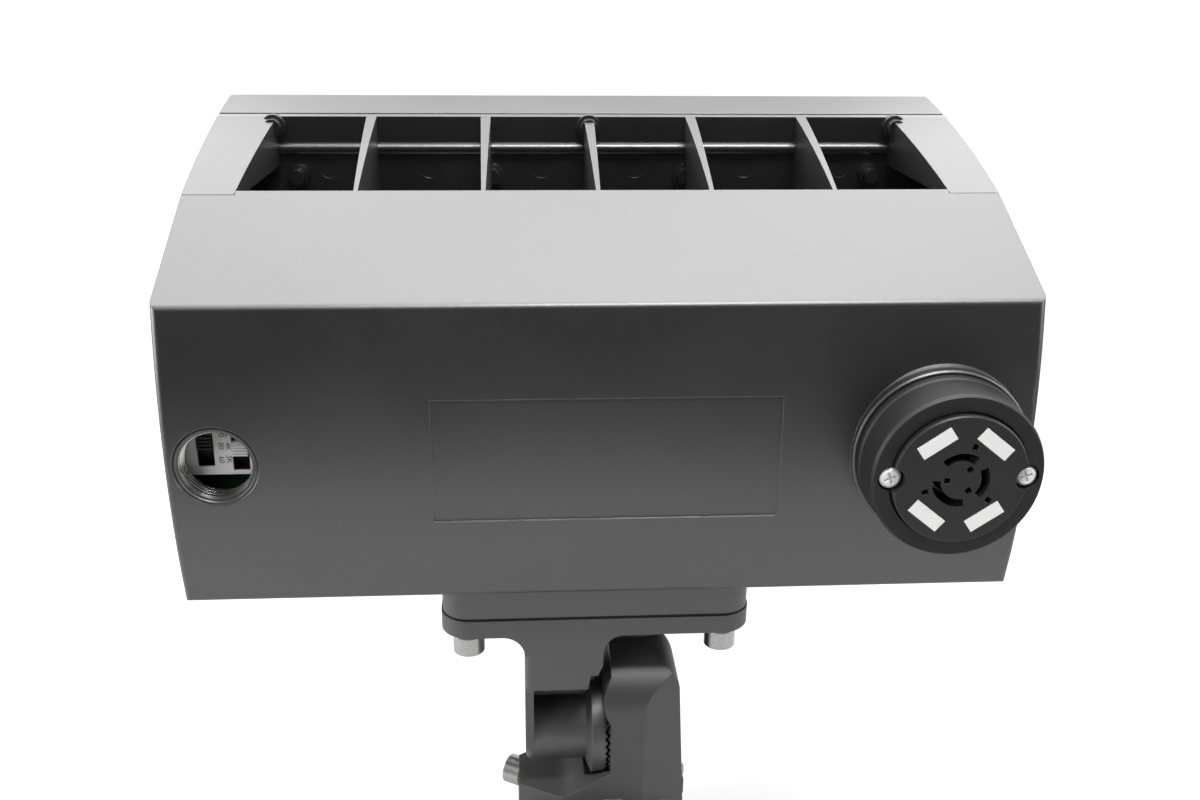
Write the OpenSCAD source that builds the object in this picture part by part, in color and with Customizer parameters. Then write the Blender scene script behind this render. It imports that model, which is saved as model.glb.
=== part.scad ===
// Flood light on a slip fitter: rear driver housing, open heat sink, glazed front frame,
// twist-lock control receptacle, selector switches and a toothed tilt knuckle.
// The origin is the centre of the tenon socket's mouth. +Y is the way the light shines,
// +X is to the right as seen from behind, and +Z is up.

/* [Body] */
// Width across housing, heat sink and frame
body_w = 324; // [310:1:350]
// Height of the rear panel between its upper and lower edges
panel_h = 118; // [108:1:128]
// How far the middle of the rear panel bows out behind its edges
panel_bow = 6.4; // [4:0.2:8]
// Radius on the rear panel's edges
panel_edge_r = 3; // [2:0.5:4]
// Depth of the driver housing, from the panel's edges to the seam
housing_depth = 59.8; // [57:0.2:66]
// Height of the body at the seam
seam_h = 171.6; // [168:0.2:180]
// Height of the body at the front face
front_h = 220; // [216:1:226]
// Radius of the curved top and bottom faces in front of the seam
crown_r = 583; // [500:1:700]
// Wall of the castings
wall = 3; // [2.5:0.1:3.5]
// How far the housing's top and bottom walls reach over the seam
lip = 2.5; // [1.5:0.1:3]

/* [Heat sink] */
// Depth of the open bays, from the seam to the base plate
bay_depth = 73.6; // [66:0.2:84]
// Thickness of the base plate's rim
land = 3; // [2.5:0.1:4]
// Thickness of the base plate where the board sits, in front of the rim
spigot = 3; // [2:0.5:4]
// Distance from the middle fin to the next one
fin_inner_x = 45.5; // [40:0.5:48]
// Distance from the middle fin to the outer one
fin_outer_x = 95.5; // [90:0.5:100]
// Fin thickness at the base plate
fin_root = 4.4; // [3.5:0.1:5]
// Fin thickness at the free edge
fin_tip = 1.7; // [1.4:0.1:2.2]
// Width of each hollow cheek at the base plate
cheek_root_w = 25.7; // [24:0.1:27]
// Width of each hollow cheek at the seam
cheek_tip_w = 20; // [19:0.1:22]
// Radius of the rib across the base plate's back
rib_r = 2.7; // [1.5:0.1:3]
// Wall of the blind screw bosses round their holes
boss_wall = 1.2; // [1:0.1:1.6]
// Height of the blind screw bosses
boss_h = 7; // [5:0.5:9]

/* [Front frame] */
// Thickness of the gasket between heat sink and frame
frame_gasket_t = 1.5; // [1:0.1:2]
// Depth of the front frame
frame_depth = 30.7; // [28:0.1:36]
// Wall of the front frame
frame_wall = 3.5; // [3:0.1:4]
// Radius round the frame's front edge
front_edge_r = 7; // [4:0.5:9]
// Border beside the window opening
window_side = 21; // [20:0.5:27]
// Border above and below the window opening
window_top = 23; // [22:0.5:26]
// Thickness of the lens
lens_t = 4; // [3:0.5:5]

/* [Bracket] */
// Height of the knuckle's axis above the socket's mouth
axis_h = 109.5; // [106:0.5:120]
// Height of the body's middle plane above the knuckle's axis
head_rise = 143; // [141:0.5:146]
// Distance of the panel's edges behind the knuckle's axis
panel_back = 32; // [31:0.5:34]
// Place of the bracket's plate along X, from the socket's axis
plate_x = -2; // [-3:0.1:0]
// Width of the bracket's plate
plate_w = 127; // [124:1:132]
// Length of the bracket's plate along Y
plate_l = 44; // [42:1:44]
// Thickness of the bracket's plate
plate_t = 8; // [7:0.5:8.5]
// Height of the plate's underside above the knuckle's axis
plate_rise = 57.3; // [56:0.1:58]
// Thickness of the bracket gasket
bracket_gasket_t = 1; // [0.6:0.1:1.5]
// Spacing of the bracket screws along X
screw_span_x = 105.2; // [104:0.2:107]
// Spacing of the bracket screws along Y
screw_span_y = 21; // [20:0.5:22]
// Radius of the knuckle's barrel
barrel_r = 15.6; // [15:0.1:16.5]
// Radius of the toothed discs
disc_r = 22; // [21:0.5:22.5]
// Number of teeth round each disc
tooth_count = 40; // [30:1:48]
// Height of the teeth
tooth_h = 1.1; // [0.8:0.1:1.3]
// Gap between the crests of the two discs with the bolt backed off
tooth_gap = 0.3; // [0.2:0.1:0.5]
// Radius of the knuckle bolt
pivot_r = 6; // [5:0.5:6]
// Running clearance round the knuckle bolt
pivot_clear = 0.05; // [0.02:0.01:0.1]

/* [Slip fitter] */
// Radius of the tenon socket
socket_r = 30.6; // [30.4:0.1:31]
// Outer radius of the socket's collar
collar_r = 35; // [34.8:0.1:36]
// Thickness of metal between the deck and the socket's ceiling
roof_t = 9.6; // [8:0.2:10]
// Depth of the deck below the knuckle's axis
deck_drop = 23.4; // [23.2:0.1:24.5]
// Half width of the cheek, front to back
cheek_half = 22.5; // [22.5:0.1:24]
// Height of the cheek's top above the knuckle's axis
cheek_rise = 39.5; // [35:0.5:42]

/* [Receptacle] */
// Distance of the receptacle's axis from the body's right side
rec_inset = 36.7; // [36:0.1:40]
// Height of the receptacle's axis above the middle plane
rec_z = 1.7; // [0:0.1:4]
// Outer radius of the receptacle
rec_r = 32.5; // [32:0.1:33]
// Height of the cast boss above the panel's edge plane
rec_boss = 9.5; // [9:0.1:10.5]
// Height of the receptacle's body
rec_h = 19; // [17:0.5:21]
// Radius of the raised contact disc
face_r = 25; // [24.5:0.1:25.5]
// Height of the contact disc above the rim
face_rise = 2.5; // [2:0.1:3]

/* [Selector] */
// Distance of the selector window's axis from the body's left side
port_inset = 18.6; // [18.5:0.1:22]
// Radius of the window's threaded bore
port_r = 13.3; // [13:0.1:13.5]
// Depth of the pale panel's face in front of the panel's edge plane
dial_y = 5.5; // [5:0.5:7]
// Travel of the power slider between its outer settings
power_travel = 6.6; // [5:0.2:7]
// Travel of the colour slider between its outer settings
colour_travel = 11.4; // [9:0.2:11.6]

/* [Hidden] */
$fn = 48;

// Clearances and seats shared by several pieces
seat = 0.3;
fit = 0.1;
seam_gap = 0.4;
big = 400;
arc_fn = 720;

// Depths of the body's stages, from the rear panel's edges
seam_y = housing_depth;
plate_y = seam_y + bay_depth;
gap_y = plate_y + land;
frame_y = gap_y + frame_gasket_t;
board_y = gap_y + spigot;
front_y = frame_y + frame_depth;
half_w = body_w / 2;
half_panel = panel_h / 2;
half_seam = seam_h / 2;
half_front = front_h / 2;
window_w = body_w - 2 * window_side;
window_h = front_h - 2 * window_top;
rec_x = half_w - rec_inset;
port_x = half_w - port_inset;

// The flat flank between panel and seam
flank_slope = (half_seam - half_panel) / seam_y;
flank_angle = atan(flank_slope);
function flank_z(y, inset = 0) = half_panel + y * flank_slope - inset / cos(flank_angle);

// The rear panel's arc, which bows out by panel_bow between its edges
panel_arc_r = (half_panel * half_panel + panel_bow * panel_bow) / (2 * panel_bow);
panel_arc_y = panel_arc_r - panel_bow;
function panel_y(z, inset = 0) = panel_arc_y - sqrt(pow(panel_arc_r - inset, 2) - z * z);

// The crown's arc, through the seam's edge and the front's edge
crown_chord = [front_y - seam_y, half_front - half_seam];
crown_half = norm(crown_chord) / 2;
crown_dir = crown_chord / norm(crown_chord);
crown_reach = sqrt(crown_r * crown_r - crown_half * crown_half);
crown_cy = (seam_y + front_y) / 2 + crown_dir[1] * crown_reach;
crown_cz = (half_seam + half_front) / 2 - crown_dir[0] * crown_reach;
function crown_z(y, inset = 0) = crown_cz + sqrt(pow(crown_r - inset, 2) - pow(y - crown_cy, 2));

// Screw sizes: shank radius, head radius, head height
m3 = [1.5, 2.8, 1.8];
m4 = [2, 3.5, 2.4];
m5 = [2.5, 4.25, 3];
m8 = [4, 6.5, 8];
m12 = [6, 9, 12];

// Frame, board and boss rows
flange_w = 12;
frame_row_z = half_front - 9.5;
frame_col_x = half_w - 24;
side_screw_x = half_w - 6.2;
board_t = 1.6;
board_w = window_w - 12;
board_h = window_h - 4;
board_row_z = board_h / 2 - 6;
board_col_x = [fin_inner_x - 2.5, board_w / 2 - 6.5];
boss_bore = 1.5;
rib_z = board_row_z + 11.5;
eject_x = [21, 71, 115];
eject_z = board_row_z + 3;
eject_r = 4.7;
eject_t = 0.3;
pillar_r = 5.6;
corner_x = half_w - 18;
corner_z = 64;
corner_cut_x = half_w - 25;
corner_cut_z = 57;

// Shallow recess for a label on the rear panel
label_w = 130;
label_h = 49;
label_t = 0.7;

// Cover and its ledge inside the housing
cover_t = 3;
cover_gasket_t = 1.5;
cover_y = seam_y - 0.5 - cover_t;
ledge_t = 5;
ledge_y = cover_y - cover_gasket_t - ledge_t;
ledge_w = 9;

// Lens seat in the front frame
face_t = 4;
lens_gasket_t = 2;
lens_lap = 4.5;
window_r = 8;
rebate_w = 2.5;
rebate_t = 1.6;
pocket_y = front_y - face_t;
lens_y = pocket_y - lens_gasket_t;
lens_back = lens_y - lens_t;
clip_out = 10;
clip_t = 1.5;

// Light source: six fields of nine
led_pitch = [24, 21];
led_size = 5;
led_t = 0.8;
field_pitch = [board_w / 2 - 49.25, board_h / 2 - 6];
field_size = [76, 68];
optic_t = 2.5;
optic_gap = 1.4;
optic_pin = [34, 30];
dome_r = 10;

// Driver
driver_size = [172, 32, 66];
driver_x = -8;
driver_y = 12;
tab_t = 2;
tab_l = 13;
driver_screw_x = driver_size[0] / 2 + 7;
driver_screw_z = 22;

// Selector parts, behind the window
panel_t = 1;
switch_y = dial_y + panel_t;
switch_t = 6;
pcb_t = 1.6;
pcb_y = switch_y + switch_t;
dial_w = 27;
dial_top = 16;
dial_low = 8.2;
slot_w = 6.2;
slot_rim = 2.5;
switch_w = slot_w + 2.4;
power_x = -5.9;
power_z = 2.5;
power_knob = 7.4;
colour_x = 7;
colour_z = 2.3;
colour_knob = 5.9;
post_z = 19.5;
post_r = 3.4;

// Receptacle
rec_gasket_t = 1;
rec_y = -rec_boss - rec_gasket_t;
rim_y = rec_y - rec_h;
face_y = rim_y - face_rise;
spigot_r = 20.7;
well_r = 4.8;
pan_r = 4;
boss_rim = 1.2;
rec_gap = 0.6;
rec_screw_x = 25;
slot_mid_r = 9;
slot_half = 1.6;
slot_spans = [[56, 136], [-43, 29], [180, 281]];
pad_angles = [51.5, 125, 231, 305];
pad_r = 17.8;
pad_l = 14;
pad_w = 5.4;
pad_t = 0.8;

// Bracket and knuckle along X
plate_top = plate_rise + plate_t;
pad_drop = plate_top + bracket_gasket_t - head_rise;
cover_half_z = -pad_drop - 0.7;
stem_x1 = -31.5;
stem_x2 = 0.7;
stem_bottom = 31.5;
stem_notch = 38;
stem_fillet = 9;
arm_edge_r = 3;
barrel_x1 = -28;
barrel_x2 = -5.4;
disc_bevel = 2.1;
disc_x = 2.2;
foot_r = barrel_r - 0.15;
web_y = [-2, 14];
wire_r = 4;
wire_x = -6;
wire_y = 6;
hollow_r = 13;
tooth_in_r = 14.5;
tooth_out_r = disc_r - 0.4;
nut_pocket_r = 12;
nut_t = 10;
washer_t = 2;
nut_x = stem_x1 + 0.6;
barrel_seat_x = nut_x + nut_t + washer_t;
cheek_x = disc_x + 2 * tooth_h + tooth_gap;
head_seat_x = 25;

// Slip fitter, below the knuckle's axis
ceiling_drop = deck_drop + roof_t;
collar_top_drop = ceiling_drop - 1;
flare_drop = deck_drop + 1.6;
flare_r = 24;
face_left = -34.6;
nose_x = -15.6;
flat_x = 18.5;
side_x = 38;
side_half = 11;
cheek_round = 16.5;
cheek_foot = 46;
ramp_angle = 30;
ramp_fillet = 12;
upper_screw_drop = 41.4;
lower_screw_z = 18;
tenon_angles = [150, 30, -90];
tenon_stand = 2.2;

// Places a child in the body's own space: middle plane, panel edges at y = 0
module head_space() {
    translate([0, -panel_back, axis_h + head_rise]) children();
}

// Places a child on the knuckle's axis
module pivot_space() {
    translate([0, 0, axis_h]) children();
}

// Extrudes a flat outline, drawn as (y, z), along X about the middle
module along_x(w) {
    rotate([90, 0, 90]) linear_extrude(height = w, center = true) children();
}

// A cylinder along Y from y1 to y2
module rod_y(x, z, y1, y2, r) {
    translate([x, y1, z]) rotate([-90, 0, 0]) cylinder(h = y2 - y1, r = r);
}

// A cylinder along X from x1 to x2, through the knuckle's axis
module rod_x(x1, x2, r) {
    translate([x1, 0, 0]) rotate([0, 90, 0]) cylinder(h = x2 - x1, r = r);
}

// A box from its lowest to its highest corner
module block(a, b) {
    translate(a) cube(b - a);
}

// A flat rectangle with round corners, centred
module round_rect(w, h, r) {
    square([w - 2 * r, h], center = true);
    square([w, h - 2 * r], center = true);
    for (x = [-1, 1], z = [-1, 1])
        translate([x * (w / 2 - r), z * (h / 2 - r)]) circle(r = r);
}

// A plate that faces along Y, from y1 to y2, with round corners
module plate_xz(w, h, r, y1, y2) {
    translate([0, y2, 0]) rotate([90, 0, 0]) linear_extrude(height = y2 - y1) round_rect(w, h, r);
}

// A cap-head screw along +Z: the seat at z = 0, the head above, the shank below
module cap_screw(size, length, socket_r = 0) {
    difference() {
        union() {
            cylinder(h = size[2], r = size[1]);
            translate([0, 0, -length]) cylinder(h = length + 0.5, r = size[0] - fit);
        }
        translate([0, 0, size[2] * 0.45])
            cylinder(h = size[2], r = socket_r > 0 ? socket_r : size[0] * 0.85, $fn = 6);
    }
}

// A screw along Y whose head points towards the front
module front_screw(x, z, y, size, length) {
    translate([x, y, z]) rotate([-90, 0, 0]) cap_screw(size, length);
}

// Body outlines

// The rear wedge, cut by the panel's arc and rounded where the two meet
module wedge_2d(inset, y_end) {
    intersection() {
        polygon([[-panel_bow - 6, flank_z(-panel_bow - 6, inset)], [y_end, flank_z(y_end, inset)],
            [y_end, -flank_z(y_end, inset)], [-panel_bow - 6, -flank_z(-panel_bow - 6, inset)]]);
        translate([panel_arc_y, 0]) circle(r = panel_arc_r - inset, $fn = arc_fn);
    }
}

// What a fillet takes off the corner between flank and panel arc
module edge_waste() {
    d = [cos(flank_angle), sin(flank_angle)];
    n = [sin(flank_angle), -cos(flank_angle)];
    corner = [0, half_panel];
    start = corner + panel_edge_r * n - [panel_arc_y, 0];
    along = start * d;
    reach = start * start - pow(panel_arc_r - panel_edge_r, 2);
    centre = corner + panel_edge_r * n + d * (-along - sqrt(along * along - reach));
    spoke = centre - [panel_arc_y, 0];
    outward = (corner - centre) / norm(corner - centre);
    difference() {
        polygon([centre - panel_edge_r * n, corner + 2 * outward,
            [panel_arc_y, 0] + spoke * panel_arc_r / norm(spoke), centre]);
        translate(centre) circle(r = panel_edge_r);
    }
}

// The drum whose rim is the rear panel, with rounded ends
module panel_drum() {
    translate([0, panel_arc_y, 0]) rotate([0, 90, 0]) rotate_extrude($fn = arc_fn) {
        translate([0, -half_w]) square([panel_arc_r - panel_edge_r, body_w]);
        translate([0, -half_w + panel_edge_r])
            square([panel_arc_r, body_w - 2 * panel_edge_r]);
        for (s = [-1, 1])
            translate([panel_arc_r - panel_edge_r, s * (half_w - panel_edge_r)])
                intersection() {
                    circle(r = panel_edge_r);
                    square(4 * panel_edge_r, center = true);
                }
    }
}

module housing_outer() {
    intersection() {
        along_x(body_w) difference() {
            wedge_2d(0, seam_y);
            for (s = [0, 1]) mirror([0, s]) edge_waste();
        }
        panel_drum();
    }
}

module housing_cavity(inset = wall) {
    along_x(body_w - 2 * inset) wedge_2d(inset, seam_y + 1);
}

// The slice of the crowned body between two depths
module crown_2d(inset, y1, y2) {
    intersection() {
        translate([y1, -big / 2]) square([y2 - y1, big]);
        translate([crown_cy, crown_cz]) circle(r = crown_r - inset, $fn = arc_fn);
        translate([crown_cy, -crown_cz]) circle(r = crown_r - inset, $fn = arc_fn);
    }
}

module crown_slice(inset, y1, y2) {
    along_x(body_w - 2 * inset) crown_2d(inset, y1, y2);
}

// The cover's outline, with its corners cut back for the housing's corner blocks
function cover_outline(d) =
    let (x = half_w - wall - seam_gap - d, z = cover_half_z - seam_gap - d,
        cx = corner_cut_x - seam_gap - d, cz = corner_cut_z - seam_gap - d)
    [[-x, -cz], [-cx, -cz], [-cx, -z], [cx, -z], [cx, -cz], [x, -cz],
        [x, cz], [cx, cz], [cx, z], [-cx, z], [-cx, cz], [-x, cz]];

module cover_slab(d, y1, y2) {
    translate([0, y2, 0]) rotate([90, 0, 0]) linear_extrude(height = y2 - y1)
        polygon(cover_outline(d));
}

cover_screw_spots = concat(
    [for (x = [-1, 0.2, 1], s = [-1, 1])
        [x * (corner_x - 44), s * (cover_half_z - seam_gap - ledge_w / 2)]],
    [for (s = [-1, 1], z = [-30, 30]) [s * (half_w - wall - ledge_w / 2), z]]);

frame_screw_spots = concat(
    [for (x = [-frame_col_x, 0, frame_col_x], s = [-1, 1]) [x, s * frame_row_z]],
    [for (s = [-1, 1]) [s * side_screw_x, 0]]);

board_screw_spots = [for (s = [-1, 1], x = board_col_x, z = [-board_row_z, 0, board_row_z])
    [s * x, z]];

clip_spots = concat(
    [for (x = [-1, 1], s = [-1, 1]) [x * window_w / 4, s * (window_h / 2 + clip_out), -s * 90]],
    [for (s = [-1, 1], z = [-1, 1])
        [s * (window_w / 2 + clip_out), z * window_h / 4, s > 0 ? 0 : 180]]);

bracket_spots = [for (x = [-1, 1], y = [-1, 1])
    [plate_x + x * screw_span_x / 2, y * screw_span_y / 2]];

// Driver housing

module receptacle_boss() {
    r = rec_r + boss_rim;
    translate([rec_x, 0, rec_z]) rotate([90, 0, 0]) rotate_extrude($fn = 96)
        polygon([[0, -wall], [r + boss_rim, -wall], [r + boss_rim, rec_boss - panel_bow],
            [r, rec_boss - panel_bow + 2 * boss_rim], [r, rec_boss - boss_rim / 2],
            [r - boss_rim / 2, rec_boss], [0, rec_boss]]);
}

module driver_housing() {
    color([0.36, 0.36, 0.37]) head_space() difference() {
        union() {
            difference() {
                housing_outer();
                housing_cavity();
            }
            for (s = [-1, 1]) scale([1, 1, s]) lip_wall();
            intersection() {
                housing_inner_bosses();
                housing_outer();
            }
            intersection() {
                receptacle_boss();
                block([0, -big, -big], [half_w, big, big]);
            }
            bracket_pad();
        }
        label_recess();
        rod_y(rec_x, rec_z, -big / 2, seam_y / 2, spigot_r + seat);
        for (s = [-1, 1]) rod_y(rec_x + s * rec_screw_x, rec_z, -rec_boss - 1, 6, m4[0]);
        selector_bore();
        plate_pocket();
        for (p = bracket_spots)
            translate([p[0], panel_back + p[1], pad_drop - 1]) cylinder(h = 15, r = m8[0]);
        translate([wire_x, panel_back + wire_y, pad_drop - 1]) cylinder(h = 40, r = wire_r);
        for (p = cover_screw_spots) rod_y(p[0], p[1], cover_y - 14, seam_y + 1, m4[0]);
        for (x = [-1, 1], z = [-1, 1])
            rod_y(x * corner_x, z * corner_z, seam_y - 16, seam_y + 1, m5[0]);
        for (x = [-1, 1], z = [-1, 1])
            rod_y(driver_x + x * driver_screw_x, z * driver_screw_z, 1, driver_y + 1, m4[0]);
        for (z = [-1, 1]) rod_y(-port_x, z * post_z, pcb_y - 8, pcb_y + 1, m3[0]);
    }
}

module lip_wall() {
    y1 = seam_y - 1;
    y2 = seam_y + lip;
    half = half_w - cheek_tip_w - seam_gap;
    along_x(2 * half) polygon([[y1, flank_z(y1)], [y2, flank_z(y2)],
        [y2, flank_z(y2, wall)], [y1, flank_z(y1, wall)]]);
}

module housing_inner_bosses() {
    difference() {
        intersection() {
            housing_cavity(wall - 1);
            block([-half_w, ledge_y, -big], [half_w, cover_y + cover_t, big]);
        }
        cover_slab(ledge_w, 0, big / 2);
        cover_slab(-seam_gap, ledge_y + ledge_t, big / 2);
    }
    for (p = cover_screw_spots) rod_y(p[0], p[1], cover_y - 16, ledge_y + 1, 4.4);
    for (x = [-1, 1], z = [-1, 1]) scale([x, 1, z])
        block([corner_cut_x, seam_y - 30, corner_cut_z], [half_w - 1, seam_y, big / 4]);
    for (x = [-1, 1], z = [-1, 1])
        rod_y(driver_x + x * driver_screw_x, z * driver_screw_z, -panel_bow, driver_y, 5);
    rod_y(rec_x, rec_z, -big / 8, 8, spigot_r + seat + wall + 4);
    rod_y(-port_x, 0, -big / 8, dial_y - 1.5, port_r + 4);
    for (z = [-1, 1]) rod_y(-port_x, z * post_z, -big / 8, pcb_y, post_r);
    block([plate_x - plate_w / 2 - 3, 5, pad_drop - 1],
        [plate_x + plate_w / 2 + 3, ledge_y + 1, pad_drop + 5]);
    for (p = bracket_spots)
        translate([p[0], panel_back + p[1], pad_drop]) cylinder(h = 16, r = 7.5);
    translate([wire_x, panel_back + wire_y, pad_drop]) cylinder(h = 10, r = wire_r + 3);
}

module bracket_pad() {
    difference() {
        translate([plate_x, panel_back, pad_drop]) linear_extrude(height = 22)
            round_rect(plate_w - 1.2, plate_l - 0.6, 11);
        housing_cavity();
    }
}

module plate_pocket() {
    translate([plate_x, panel_back, pad_drop - 30]) linear_extrude(height = 30)
        round_rect(plate_w + 2, plate_l + 1, 12);
}

module label_recess() {
    difference() {
        block([-label_w / 2, -panel_bow - 2, -label_h / 2], [label_w / 2, 0, label_h / 2]);
        translate([0, panel_arc_y, 0]) rotate([0, 90, 0])
            cylinder(h = label_w + 2, r = panel_arc_r - label_t, center = true, $fn = arc_fn);
    }
}

module selector_bore() {
    rod_y(-port_x, 0, -panel_bow - 1, dial_y, port_r);
    translate([-port_x, panel_y(0) - 0.5, 0]) rotate([-90, 0, 0])
        cylinder(h = 3.2, r1 = port_r + 3.2, r2 = port_r);
}

module cover_gasket() {
    color([0.05, 0.05, 0.05]) head_space() difference() {
        cover_slab(0.5, cover_y - cover_gasket_t, cover_y);
        cover_slab(ledge_w - 0.5, cover_y - big / 4, cover_y + 1);
        for (p = cover_screw_spots) rod_y(p[0], p[1], cover_y - 5, cover_y + 1, m4[0] + fit);
    }
}

module driver_cover() {
    color([0.3, 0.3, 0.31]) head_space() difference() {
        cover_slab(0, cover_y, cover_y + cover_t);
        for (p = cover_screw_spots)
            rod_y(p[0], p[1], cover_y - 1, cover_y + cover_t + 1, m4[0] + fit);
    }
}

module cover_screws() {
    color([0.75, 0.75, 0.74]) head_space() for (p = cover_screw_spots)
        front_screw(p[0], p[1], cover_y + cover_t, m4, 14);
}

module driver() {
    color([0.62, 0.63, 0.64]) head_space() translate([driver_x, 0, 0]) difference() {
        union() {
            block([-driver_size[0] / 2, driver_y, -driver_size[2] / 2],
                [driver_size[0] / 2, driver_y + driver_size[1], driver_size[2] / 2]);
            translate([0, driver_y, 0])
                plate_xz(driver_size[0] + 2 * tab_l, driver_size[2], 4, 0, tab_t);
        }
        for (x = [-1, 1], z = [-1, 1])
            rod_y(x * driver_screw_x, z * driver_screw_z, driver_y - 1, driver_y + 4, m4[0] + fit);
    }
}

module driver_screws() {
    color([0.75, 0.75, 0.74]) head_space() for (x = [-1, 1], z = [-1, 1])
        front_screw(driver_x + x * driver_screw_x, z * driver_screw_z, driver_y + tab_t, m4, 9);
}

// Selector

module selector_board() {
    color([0.1, 0.35, 0.2]) head_space() translate([-port_x, pcb_y, 0]) difference() {
        plate_xz(26, 2 * post_z + 8, 2, 0, pcb_t);
        for (z = [-1, 1]) rod_y(0, z * post_z, -1, pcb_t + 1, m3[0] + fit);
    }
}

module selector_screws() {
    color([0.75, 0.75, 0.74]) head_space() for (z = [-1, 1])
        front_screw(-port_x, z * post_z, pcb_y + pcb_t, m3, 7);
}

module selector_panel() {
    color([0.9, 0.9, 0.88]) head_space() translate([-port_x, dial_y, 0]) difference() {
        translate([0, 0, (dial_top - dial_low) / 2])
            plate_xz(dial_w, dial_top + dial_low, 1, 0, panel_t);
        switch_slot(power_x, power_z, power_knob + power_travel);
        switch_slot(colour_x, colour_z, colour_knob + colour_travel);
    }
}

module switch_slot(x, z, length) {
    block([x - slot_w / 2, -1, z - length / 2 - seat], [x + slot_w / 2, 4, z + length / 2 + seat]);
}

// A switch body with the pocket that its slider runs in
module switch_body(x, z, length) {
    color([0.12, 0.12, 0.12]) head_space() translate([-port_x, switch_y, 0]) difference() {
        block([x - switch_w / 2, 0, z - length / 2 - slot_rim],
            [x + switch_w / 2, switch_t, z + length / 2 + slot_rim]);
        switch_slot(x, z, length);
    }
}

// A slider knob with grip ribs, centred at height z
module switch_knob(x, z, size) {
    ribs = 5;
    pitch = size / ribs;
    head_space() translate([-port_x + x, dial_y, z]) {
        block([-slot_w / 2 + seat, -0.6, -size / 2],
            [slot_w / 2 - seat, panel_t + 4 - seat, size / 2]);
        for (i = [0 : ribs - 1])
            block([-slot_w / 2 + seat, -1.3, -size / 2 + (i + 0.25) * pitch],
                [slot_w / 2 - seat, -0.5, -size / 2 + (i + 0.75) * pitch]);
    }
}

module power_switch() {
    switch_body(power_x, power_z, power_knob + power_travel);
}

module colour_switch() {
    switch_body(colour_x, colour_z, colour_knob + colour_travel);
}

module power_slider() {
    color([0.07, 0.07, 0.07]) switch_knob(power_x, power_z + power_travel / 2, power_knob);
}

module colour_slider() {
    color([0.8, 0.8, 0.78]) switch_knob(colour_x, colour_z, colour_knob);
}

// Receptacle

// Turns a child so that its Z axis points out of the receptacle's face
module rec_space() {
    head_space() translate([rec_x, 0, rec_z]) rotate([90, 0, 0]) children();
}

module receptacle_gasket() {
    color([0.05, 0.05, 0.05]) rec_space() difference() {
        translate([0, 0, rec_boss]) cylinder(h = rec_gasket_t, r = rec_r - 0.6, $fn = 96);
        translate([0, 0, rec_boss - 1]) cylinder(h = 4, r = spigot_r + seat);
        for (s = [-1, 1])
            translate([s * rec_screw_x, 0, rec_boss - 1]) cylinder(h = 4, r = m4[0] + fit);
    }
}

module receptacle_body() {
    top = -rim_y;
    seat_z = top - 6;
    color([0.08, 0.08, 0.08]) rec_space() difference() {
        union() {
            rotate_extrude($fn = 96) polygon([[0, -rec_y], [rec_r, -rec_y], [rec_r, -rec_y + 2.5],
                [rec_r - 0.6, -rec_y + 3.5], [rec_r - 0.6, top - 1.5], [rec_r - 1.4, top],
                [0, top]]);
            translate([0, 0, -6]) cylinder(h = 20, r = spigot_r);
        }
        translate([0, 0, seat_z]) cylinder(h = 20, r = face_r + rec_gap, $fn = 96);
        translate([0, 0, 2]) cylinder(h = 40, r = 13);
        for (s = [-1, 1]) translate([s * rec_screw_x, 0, 0]) {
            cylinder(h = big / 4, r = m4[0] + fit);
            translate([0, 0, top - 2.4]) cylinder(h = 20, r = well_r);
        }
    }
}

// A curved slot between two angles, as a ring segment
module ring_segment(r1, r2, a1, a2, h) {
    rotate([0, 0, a1]) rotate_extrude(angle = a2 - a1, $fn = 96)
        translate([r1, 0]) square([r2 - r1, h]);
}

module receptacle_face() {
    top = -face_y;
    bottom = -rim_y - 6;
    color([0.11, 0.11, 0.11]) rec_space() difference() {
        union() {
            translate([0, 0, bottom]) cylinder(h = top - bottom - 0.6, r = face_r, $fn = 96);
            translate([0, 0, top - 0.6]) cylinder(h = 0.6, r1 = face_r, r2 = face_r - 0.6, $fn = 96);
        }
        for (s = slot_spans) translate([0, 0, bottom - 1])
            ring_segment(slot_mid_r - slot_half, slot_mid_r + slot_half, s[0], s[1], 20);
        for (a = [56, 180, 308]) rotate([0, 0, a])
            translate([5.1, 0, top - 1]) cube([2.2, 2.2, 6], center = true);
        for (a = [74, 199, 324]) rotate([0, 0, a])
            translate([13.5, 0, top - 1]) cube([2.4, 2, 6], center = true);
        for (a = pad_angles) rotate([0, 0, a]) translate([pad_r, 0, top])
            cube([pad_w + 2 * seat, pad_l + 2 * seat, 2 * pad_t], center = true);
        for (s = [-1, 1])
            translate([s * rec_screw_x, 0, bottom - 1]) cylinder(h = 20, r = well_r);
    }
}

module receptacle_screws() {
    color([0.85, 0.85, 0.84]) rec_space() for (s = [-1, 1])
        translate([s * rec_screw_x, 0, -rim_y - 2.4]) difference() {
            union() {
                cylinder(h = 1.4, r = pan_r);
                translate([0, 0, 1.4]) cylinder(h = 0.8, r1 = pan_r, r2 = pan_r - 1);
                translate([0, 0, -26]) cylinder(h = 26.5, r = m4[0] - fit);
            }
            for (a = [20, 110]) rotate([0, 0, a])
                translate([0, 0, 2.2]) cube([4.8, 1, 2.8], center = true);
        }
}

module dimming_pads() {
    color([0.85, 0.85, 0.82]) rec_space() for (a = pad_angles) rotate([0, 0, a])
        translate([pad_r, 0, -face_y - pad_t / 2]) cube([pad_w, pad_l, pad_t], center = true);
}

module line_contacts() {
    color([0.72, 0.58, 0.3]) rec_space() for (s = slot_spans) translate([0, 0, 2])
        ring_segment(slot_mid_r - 0.5, slot_mid_r + 0.5, s[0] + 8, s[1] - 8, -rim_y - 8.3);
}

// Heat sink

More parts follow.
